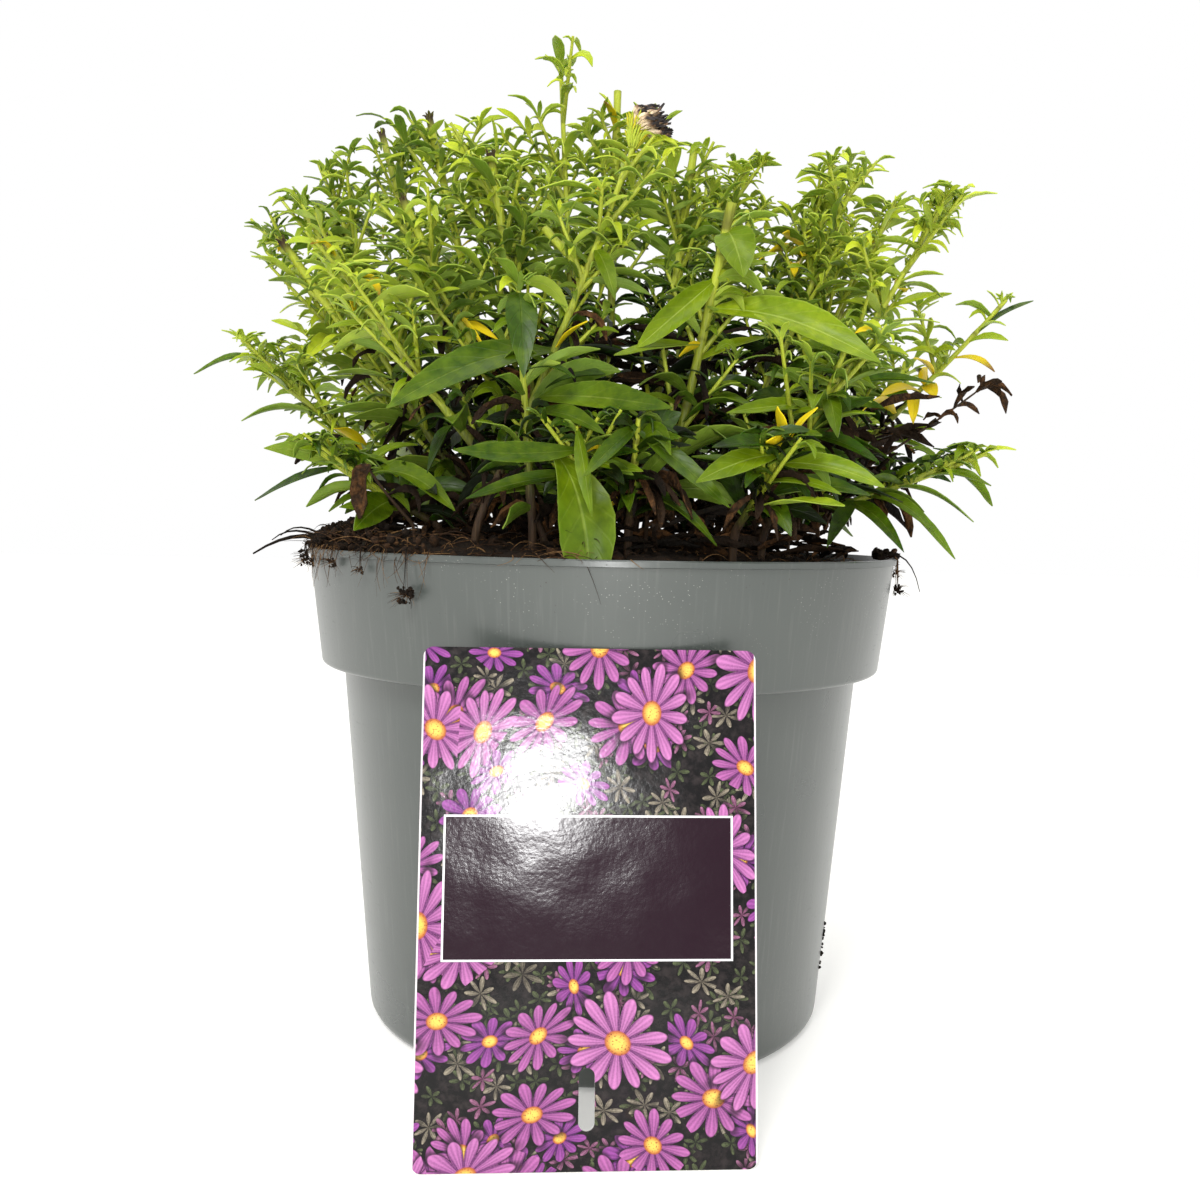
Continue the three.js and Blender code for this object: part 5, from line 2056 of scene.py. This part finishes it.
def pot_profile(look):
    """The pot's section, as radii and heights."""
    collar_foot = look.height - POT.collar_height
    inner = BASE.raised + POT.floor_thickness
    lip = look.height - POT.lip_height
    top = look.rim_radius - POT.lip_stands_out
    corner = POT.corner_radius
    foot = [
        (0.0, 0.0),
        (BASE.disc_radius, 0.0),
        (BASE.disc_radius + BASE.slope, BASE.raised),
        (BASE.ring_inner - BASE.slope, BASE.raised),
        (BASE.ring_inner, 0.0),
    ]
    rounding = POT.foot_rounding
    foot += rounded_edge(body_radius(look, rounding), 0.0, rounding, 6)
    ledge = rounded_edge(POT.collar_foot_radius, collar_foot, corner, 5)
    rim = [
        (top, lip),
        (look.rim_radius, lip + POT.lip_step),
        (look.rim_radius, look.height - POT.lip_bevel),
        (look.rim_radius - POT.lip_bevel, look.height),
        (top - look.wall, look.height),
    ]
    inside = [
        (collar_radius(look, collar_foot) - look.wall, collar_foot + look.wall),
        (POT.body_top_radius - look.wall, collar_foot + look.wall),
        (body_radius(look, inner) - look.wall, inner + corner),
        (body_radius(look, inner) - look.wall - corner, inner),
        (0.0, inner),
    ]
    body = [(POT.body_top_radius, collar_foot - POT.body_top_below)]
    return foot + body + ledge + rim + inside


def model_turned(name, profile, sides):
    """Turns a section of radii and heights round the Z axis."""
    deselect()
    bpy.ops.mesh.primitive_plane_add(size=0.001)
    piece = bpy.context.object
    piece.name = name
    edit(piece)
    bpy.ops.mesh.merge(type="CENTER")
    places = [Vector((radius, 0.0, height)) for radius, height in profile]
    bpy.ops.transform.translate(value=places[0])
    for here, there in zip(places, places[1:]):
        step = {"value": there - here}
        bpy.ops.mesh.extrude_region_move(TRANSFORM_OT_translate=step)
    bpy.ops.mesh.select_all(action="SELECT")
    bpy.ops.mesh.spin(steps=sides, angle=math.tau, center=(0, 0, 0), axis=(0, 0, 1))
    close_up(piece)
    return piece


def cut_away(piece, cutter):
    """Cuts one piece out of another."""
    modify(piece, "BOOLEAN", operation="DIFFERENCE", object=cutter, solver="EXACT")
    remove(cutter)


def build_pot(look):
    """The turned pot with its drainage holes."""
    piece = model_turned("nursery_pot", pot_profile(look), POT.sides)
    deselect()
    drills = []
    for i in range(BASE.holes):
        angle = (i + 0.5) * math.tau / BASE.holes
        place = (BASE.hole_circle * math.cos(angle), BASE.hole_circle * math.sin(angle))
        bpy.ops.mesh.primitive_cylinder_add(
            vertices=32,
            radius=BASE.hole_radius,
            depth=4 * POT.floor_thickness,
            location=(*place, BASE.raised + POT.floor_thickness / 2),
        )
        drills.append(bpy.context.object)
    for drill in drills:
        drill.select_set(True)
    bpy.context.view_layer.objects.active = drills[0]
    bpy.ops.object.join()
    settle(drills[0])
    cut_away(piece, drills[0])
    settle(piece)
    smooth(piece, 30)
    hand_over(piece, ["pot"], [plastic_finish()])


# Label


def build_label(look, pot):
    """The card with its hanging slot, leaning on the collar."""
    deselect()
    bpy.ops.mesh.primitive_plane_add(size=1)
    card = bpy.context.object
    card.name = "picture_label"
    edit(card)
    bpy.ops.transform.translate(value=(0, 0.5, 0))
    bpy.ops.transform.resize(value=(look.width, look.height, 1), center_override=(0, 0, 0))
    bpy.ops.mesh.bevel(offset=LABEL.corner, segments=6, affect="VERTICES")
    bpy.ops.object.mode_set(mode="OBJECT")
    modify(card, "SOLIDIFY", thickness=LABEL.thickness, offset=1.0)
    deselect()
    bpy.ops.mesh.primitive_cube_add(size=1, location=(0, LABEL.slot_centre, 0))
    slot = bpy.context.object
    edit(slot)
    size = (LABEL.slot_width, LABEL.slot_length, LABEL.slot_cutter)
    bpy.ops.transform.resize(value=size, center_override=(0, LABEL.slot_centre, 0))
    rounding = LABEL.slot_width * LABEL.slot_rounding
    edit_upright_edges(slot, bpy.ops.mesh.bevel, offset=rounding, segments=8)
    settle(slot)
    cut_away(card, slot)
    mesh = card.data
    corners = np.zeros(len(mesh.loops), int)
    mesh.loops.foreach_get("vertex_index", corners)
    places = np.array([v.co for v in mesh.vertices])[corners]
    while mesh.uv_layers:
        mesh.uv_layers.remove(mesh.uv_layers[0])
    flat = np.stack([places[:, 0] / look.width + 0.5, places[:, 1] / look.height], axis=-1)
    mesh.uv_layers.new(name="blade").uv.foreach_set("vector", flat.ravel())
    bare = [int(face.normal.z < 0.5) for face in mesh.polygons]
    mesh.polygons.foreach_set("material_index", bare)
    top = look.height * math.cos(LABEL.lean)
    reach = collar_radius(pot, top) + GAP + look.height * math.sin(LABEL.lean)
    turn = Matrix.Rotation(LABEL.turn, 4, "Z")
    stand = Matrix.Rotation(math.pi / 2 - LABEL.lean, 4, "X")
    card.matrix_world = turn @ Matrix.Translation((LABEL.offset, -reach, 0)) @ stand
    settle(card)
    smooth(card, 30)
    hand_over(card, ["label"], [label_finish(), card_back_finish()])


# Soil

PEAT = SimpleNamespace(sides=200, rings=44, smooth_edge=0.006, tone=0.4)
# The roughness of the peat: size and height of its lumps, in metres
PEAT_GRAINS = ((0.014, 0.0045), (0.004, 0.0028), (0.0016, 0.0016))
FIBRE_RINGS = 7
FIBRE_SIDES = 4
FIBRE_TAPER = 0.7
# Where the peat reaches over the rim at the left, as an angle round the pot
SPILL_ANGLE = math.pi + 0.35
CRUMBS_WITHIN = 90
FIBRES_WITHIN = 92


def soil_height(radius, angle):
    """The height of the peat, in metres."""
    inside = 1 - (radius / SOIL.full_radius) ** 6
    left = -SOIL.left_heap * radius * math.cos(angle) / SOIL.full_radius
    heap = SOIL.heap_height - SOIL.edge_height + left
    return SOIL.edge_height + heap * inside + left


def model_peat(pot):
    """The body of peat in the pot, with a rough top."""
    inner = BASE.raised + POT.floor_thickness
    collar_foot = pot.height - POT.collar_height + pot.wall
    clear = pot.wall + GAP
    levels = [
        (body_radius(pot, inner) - clear, inner + GAP * 2),
        (POT.body_top_radius - clear, collar_foot),
        (POT.collar_foot_radius - clear, collar_foot + GAP * 2),
        (collar_radius(pot, SOIL.edge_height) - clear, SOIL.edge_height),
    ]
    deselect()
    radius, height = levels[0]
    bpy.ops.mesh.primitive_circle_add(
        vertices=PEAT.sides, radius=radius, fill_type="NGON", location=(0, 0, 0)
    )
    piece = bpy.context.object
    piece.name = "peat_ball"
    edit(piece)
    bpy.ops.transform.translate(value=(0, 0, height))
    for wider, higher in levels[1:]:
        step = {"value": (0, 0, higher - height)}
        bpy.ops.mesh.extrude_region_move(TRANSFORM_OT_translate=step)
        ratio = wider / radius
        bpy.ops.transform.resize(value=(ratio, ratio, 1), center_override=(0, 0, higher))
        radius, height = wider, higher
    for _ in range(PEAT.rings):
        bpy.ops.mesh.inset(thickness=radius / (PEAT.rings + 1))
    bpy.ops.mesh.poke()
    close_up(piece)
    mesh = piece.data
    group = piece.vertex_groups.new(name="surface")
    for vertex in mesh.vertices:
        x, y, z = vertex.co
        from_axis = math.hypot(x, y)
        if z > SOIL.edge_height - 1e-5:
            if from_axis < radius - 1e-4:
                vertex.co.z = soil_height(from_axis, math.atan2(y, x))
                share = min(1, (radius - from_axis) / PEAT.smooth_edge)
                group.add([vertex.index], share, "ADD")
    for scale, strength in PEAT_GRAINS:
        grain = bpy.data.textures.new("peat_grain", "CLOUDS")
        grain.noise_scale = scale
        modify(
            piece,
            "DISPLACE",
            texture=grain,
            strength=strength,
            mid_level=0.5,
            direction="Z",
            vertex_group="surface",
        )
    shade = mesh.attributes.new("shade", "FLOAT_COLOR", "POINT")
    shade.data.foreach_set("color", [PEAT.tone, 0.0, 0.0, 1.0] * len(mesh.vertices))
    smooth(piece, 60)
    return piece


def lay_crumbs(places, sizes, tones, seed):
    """Rough lumps at given places, in millimetres, each turned at random."""
    form = crumb_form()
    roll = Dice(seed)
    points = []
    for place, size in zip(places, sizes):
        turn = Euler([roll(0, math.tau) for _ in range(3)]).to_matrix()
        squash = np.array([roll(0.7, 1.3), roll(0.7, 1.2), roll(0.5, 0.9)])
        lump = (form.points * squash) @ np.array(turn).T
        points.append(lump * size + place)
    points = np.array(points) * MM
    shade = np.zeros(points.shape)
    shade[:, :, 0] = np.asarray(tones)[:, None]
    return batch(form, points, shade)


def lay_fibres(paths, widths, tones):
    """Thin roots along paths of three places, in millimetres."""
    shares = np.linspace(0, 1, FIBRE_RINGS)
    curves = [[bend(*path, share) for share in shares] for path in paths]
    radii = np.asarray(widths)[:, None] * (1 - FIBRE_TAPER * shares)[None]
    shade = np.zeros((len(paths), len(shares), 3))
    shade[:, :, 0] = np.asarray(tones)[:, None]
    return lay_tubes(curves, radii, shade, FIBRE_SIDES, slot=0)


class Litter:
    """Crumbs and thin roots that make one piece, in millimetres."""

    def __init__(self):
        self.crumbs = []
        self.fibres = []

    def crumb(self, place, size, tone):
        """Adds a crumb."""
        self.crumbs.append((place, size, tone))

    def fibre(self, path, width, tone):
        """Adds a root along a path of three places."""
        self.fibres.append((path, width, tone))

    def build(self, name, seed):
        """Builds the piece, with each crumb turned by draws from the seed."""
        crumbs = lay_crumbs(*zip(*self.crumbs), seed)
        piece = build_piece(name, [crumbs, lay_fibres(*zip(*self.fibres))])
        hand_over(piece, [], [peat_finish()])


def on_peat(angle, from_axis):
    """A place on the peat, in millimetres."""
    return around(angle, from_axis, soil_height(from_axis * MM, angle) / MM)


def build_soil(look, pot):
    """Peat, its crumbs and fibres, and what hangs over the rim."""
    peat = model_peat(pot)
    hand_over(peat, ["soil"], [peat_finish()])
    roll = Dice(SEEDS.soil)
    edge = pot.rim_radius / MM
    litter = Litter()
    for _ in range(look.crumbs):
        from_axis = CRUMBS_WITHIN * math.sqrt(roll(0.05, 1))
        place = on_peat(roll(0, math.tau), from_axis)
        size = 0.35 + 1.6 * roll(0, 1) ** 3
        litter.crumb(place + UP * size * 0.3, size, roll(0, 0.9))
    for _ in range(look.crumbs // 3):
        angle = SPILL_ANGLE + roll(-0.75, 0.75) * roll(0.3, 1)
        place = on_peat(angle, roll(80, edge - 1.5))
        size = roll(0.4, 1.7)
        litter.crumb(place + UP * roll(0.5, 6.0), size, roll(0.1, 0.9))
    for i in range(look.fibres):
        at_rim = i % 3 == 0
        if at_rim:
            angle = SPILL_ANGLE + roll(-1.2, 1.2)
            from_axis = roll(84, edge - 1)
        else:
            angle = roll(0, math.tau)
            from_axis = FIBRES_WITHIN * math.sqrt(roll(0, 1))
        start = on_peat(angle, from_axis)
        turn = roll(0, math.tau)
        reach = roll(4, 14)
        if at_rim:
            start = start + UP * roll(0, 4.5)
        way = around(turn, height=roll(-0.1, 0.5)) * reach
        middle = start + way * 0.5 + UP * roll(0, 3.5)
        end = start + way
        end[2] = max(end[2] * 0.4 + start[2] * 0.6, start[2] - 0.5)
        if at_rim or math.hypot(end[0], end[1]) <= edge - 2:
            litter.fibre((start, middle, end), roll(0.06, 0.22), roll(0.2, 1.5))
    litter.build("peat_crumbs_and_fibres", SEEDS.soil_crumbs)
    build_overhang(pot)


# Peat and roots that hang over the rim: angle round the pot, how far below the
# rim they reach, and the size of the clump at their end, in millimetres
OVERHANGS = (
    (-2.144, 11.0, 2.1),
    (-2.34, 5.0, 1.0),
    (-2.5, 3.5, 1.4),
    (-2.7, 4.0, 1.2),
    (-2.85, 4.0, 1.6),
    (-2.95, 3.0, 1.8),
    (-0.16, 10.0, 1.6),
    (-0.1, 5.0, 1.2),
    (0.02, 3.0, 1.4),
)
# Fine roots that lie on the collar: first and last angle, and how many
HAIRS = ((-2.85, -2.05, 80), (-0.3, 0.0, 16), (-1.9, -1.2, 6))
# Crumbs stuck low on the right side of the body
STUCK = SimpleNamespace(angle=-0.24, low=14, high=32, count=22)
# Thick roots that stick out over the rim: start, middle, end and radius
STICKING_ROOTS = (
    ((-88, -18, 151), (-97, -22, 155), (-109, -24, 146.5), 0.9),
    ((-86, -24, 151), (-95, -30, 157), (-102, -28, 151), 0.5),
    ((-84, -32, 152), (-92, -36, 158), (-98, -33, 152.5), 0.4),
    ((88, -22, 150), (96, -25, 153), (99, -26, 139), 0.35),
)
ROOT_TONE = 0.1
# How many threads hold a clump, how many lumps and roots are in one, fewest and
# for each millimetre of its size, and how many crumbs lie at its threads' start
CLUMP = SimpleNamespace(threads=4, fewest_lumps=6, lumps_per_size=12, crumbs=5)


def jitter(roll):
    """A draw between -1 and 1 along each axis."""
    return np.array([roll(-1, 1) for _ in range(3)])


def add_hairs(litter, roll, edge, top):
    """Fine roots that lie on the outside of the collar."""
    for first, last, count in HAIRS:
        for _ in range(count):
            angle = roll(first, last)
            drop = 1 + 11 * roll(0, 1) ** 2
            turns = (angle, angle + roll(-0.03, 0.03), angle + roll(-0.08, 0.08))
            heights = (top + roll(0, 1.5), top - drop * 0.4, top - drop)
            outs = (edge - 0.5, edge + roll(0.4, 1.6), edge + roll(0.0, 0.6))
            path = [around(*place) for place in zip(turns, outs, heights)]
            litter.fibre(path, roll(0.05, 0.13), roll(0.6, 1.5))


def add_clump(litter, roll, edge, top, entry):
    """A clump of peat that hangs on threads outside the rim."""
    angle, drop, size = entry
    out = around(angle)
    inside = out * (edge - 3) + UP * (top + 0.3)
    over = out * (edge + 0.4) + UP * (top + 1.6)
    hang = out * (edge + 0.7) + UP * (top - drop)
    for _ in range(CLUMP.threads):
        jog = jitter(roll) * 0.9
        across = (inside + jog * 2, over + out * 2.4, over + out * 0.2 + jog)
        down = (over + jog * 0.5, over + out * 0.6 - UP * drop * 0.4, hang + jog)
        widths = (roll(0.08, 0.24), roll(0.06, 0.18))
        for path, width in zip((across, down), widths):
            litter.fibre(path, width, roll(0.2, 1.0))
    lumps = CLUMP.fewest_lumps + int(size * CLUMP.lumps_per_size)
    for _ in range(lumps):
        place = hang + jitter(roll) * size
        from_axis = math.hypot(place[0], place[1])
        least = edge + 0.3
        if from_axis < least:
            place[:2] *= least / from_axis
        litter.crumb(place, size * roll(0.12, 0.34), roll(0.0, 0.6))
    for _ in range(lumps):
        spread = around(roll(0, math.tau), height=roll(-1, 0.6)) * size * 1.7
        path = (hang, hang + spread * 0.6 + UP * 0.8, hang + spread + out * size)
        litter.fibre(path, roll(0.05, 0.14), roll(0.3, 1.4))
    for _ in range(CLUMP.crumbs):
        place = inside + np.array([roll(-3, 3), roll(-3, 3), roll(0, 2)])
        litter.crumb(place, roll(0.6, 1.6), roll(0, 0.7))


def build_overhang(pot):
    """Clumps on threads outside the rim, and roots that stick out over it."""
    roll = Dice(SEEDS.overhang)
    edge = pot.rim_radius / MM
    top = pot.height / MM
    litter = Litter()
    for entry in OVERHANGS:
        add_clump(litter, roll, edge, top, entry)
    add_hairs(litter, roll, edge, top)
    for _ in range(STUCK.count):
        height = roll(STUCK.low, STUCK.high)
        out = body_radius(pot, height * MM) / MM + 0.2
        angle = STUCK.angle + roll(-0.02, 0.02)
        litter.crumb(around(angle, out, height), roll(0.25, 0.7), roll(0.0, 0.4))
    for *path, radius in STICKING_ROOTS:
        litter.fibre([np.array(place, float) for place in path], radius, ROOT_TONE)
    litter.build("peat_over_the_rim", SEEDS.overhang_crumbs)


# Stage

CAMERA_PLACE = (-0.00037, -0.3987, 0.1583)
CAMERA_PITCH = 0.064
CAMERA_ROLL = 0.021
# The floor, in metres: its side, how far it lies under the pot, and its grid
FLOOR = SimpleNamespace(side=8, below=0.0002, cells=40)
LIGHTS_AIM = (0, 0, 0.15)
# Area lights: name, place, size and power in watts
LIGHTS = (
    ("key_light", (-0.45, -1.2, 1.35), 0.5, 20.0),
    ("front_light", (0.05, -0.85, 0.18), 0.08, 2.0),
    ("top_light", (0.2, 0.1, 1.9), 1.2, 8.0),
)


def build_stage(look):
    """Floor, white surround, soft lights and the camera."""
    deselect()
    bpy.ops.mesh.primitive_grid_add(
        x_subdivisions=FLOOR.cells, y_subdivisions=FLOOR.cells, size=FLOOR.side
    )
    floor = bpy.context.object
    floor.name = "floor"
    edit(floor)
    bpy.ops.transform.translate(value=(0, 0, -FLOOR.below))
    bpy.ops.object.mode_set(mode="OBJECT")
    floor.data.materials.append(floor_finish())
    scene = bpy.context.scene
    world = bpy.data.worlds.new("white_surround")
    scene.world = world
    world.use_nodes = True
    background = world.node_tree.nodes["Background"]
    background.inputs["Color"].default_value = (1.0, 1.0, 1.0, 1.0)
    background.inputs["Strength"].default_value = look.sky
    for name, place, size, power in LIGHTS:
        data = bpy.data.lights.new(name, "AREA")
        data.size = size
        data.energy = power
        lamp = bpy.data.objects.new(name, data)
        lamp.location = place
        aim = Vector(LIGHTS_AIM) - Vector(place)
        lamp.rotation_euler = aim.to_track_quat("-Z", "Y").to_euler()
        scene.collection.objects.link(lamp)
    data = bpy.data.cameras.new("camera")
    data.lens = look.lens
    data.sensor_width = 36.0
    data.clip_start = 0.01
    camera = bpy.data.objects.new("camera", data)
    tilt = Matrix.Rotation(math.pi / 2 - CAMERA_PITCH, 4, "X")
    roll = Matrix.Rotation(CAMERA_ROLL, 4, "Z")
    camera.matrix_world = Matrix.Translation(CAMERA_PLACE) @ tilt @ roll
    scene.collection.objects.link(camera)
    scene.camera = camera
    scene.view_settings.view_transform = "Standard"


# Operators and panel


class StageOperator(bpy.types.Operator):
    """Builds the floor, the lights and the camera"""

    bl_idname = "aster.build_stage"
    bl_label = "Stage"

    def execute(self, context):
        build_stage(context.scene.aster_stage)
        return {"FINISHED"}


class PotOperator(bpy.types.Operator):
    """Builds the nursery pot"""

    bl_idname = "aster.build_pot"
    bl_label = "Pot"

    def execute(self, context):
        build_pot(context.scene.aster_pot)
        return {"FINISHED"}


class LabelOperator(bpy.types.Operator):
    """Builds the printed label"""

    bl_idname = "aster.build_label"
    bl_label = "Label"

    def execute(self, context):
        build_label(context.scene.aster_label, context.scene.aster_pot)
        return {"FINISHED"}


class SoilOperator(bpy.types.Operator):
    """Builds the peat with its crumbs and fibres"""

    bl_idname = "aster.build_soil"
    bl_label = "Peat"

    def execute(self, context):
        build_soil(context.scene.aster_soil, context.scene.aster_pot)
        return {"FINISHED"}


class StemsOperator(bpy.types.Operator):
    """Builds the leafy stems"""

    bl_idname = "aster.build_stems"
    bl_label = "Leafy stems"

    def execute(self, context):
        build_stems()
        return {"FINISHED"}


class WitheredOperator(bpy.types.Operator):
    """Builds the dead stems and leaves"""

    bl_idname = "aster.build_withered"
    bl_label = "Dead stems and leaves"

    def execute(self, context):
        build_withered()
        return {"FINISHED"}


class HeadOperator(bpy.types.Operator):
    """Builds the dry flower head"""

    bl_idname = "aster.build_head"
    bl_label = "Dry flower head"

    def execute(self, context):
        build_head(context.scene.aster_head)
        return {"FINISHED"}


SETTINGS = (
    ("aster_pot", PotSettings),
    ("aster_label", LabelSettings),
    ("aster_soil", SoilSettings),
    ("aster_plant", PlantSettings),
    ("aster_head", HeadSettings),
    ("aster_stage", StageSettings),
)
OPERATORS = (
    StageOperator,
    PotOperator,
    LabelOperator,
    SoilOperator,
    StemsOperator,
    WitheredOperator,
    HeadOperator,
)


class AsterPanel(bpy.types.Panel):
    """Lists the settings and the operators"""

    bl_label = "Potted aster"
    bl_idname = "VIEW3D_PT_aster"
    bl_space_type = "VIEW_3D"
    bl_region_type = "UI"
    bl_category = "Aster"

    def draw(self, context):
        for name, group in SETTINGS:
            box = self.layout.box()
            for setting in group.__annotations__:
                box.prop(getattr(context.scene, name), setting)
        for operator in OPERATORS:
            self.layout.operator(operator.bl_idname)


def register():
    """Makes the settings, operators and panel known."""
    for name, group in SETTINGS:
        bpy.utils.register_class(group)
        setattr(bpy.types.Scene, name, PointerProperty(type=group))
    for kind in (*OPERATORS, AsterPanel):
        bpy.utils.register_class(kind)


def unregister():
    """Takes the settings, operators and panel away."""
    for kind in (AsterPanel, *reversed(OPERATORS)):
        bpy.utils.unregister_class(kind)
    for name, group in reversed(SETTINGS):
        delattr(bpy.types.Scene, name)
        bpy.utils.unregister_class(group)


def main():
    """Builds everything."""
    register()
    bpy.ops.aster.build_stage()
    bpy.ops.aster.build_pot()
    bpy.ops.aster.build_label()
    bpy.ops.aster.build_soil()
    bpy.ops.aster.build_stems()
    bpy.ops.aster.build_withered()
    bpy.ops.aster.build_head()


if __name__ == "__main__":
    main()
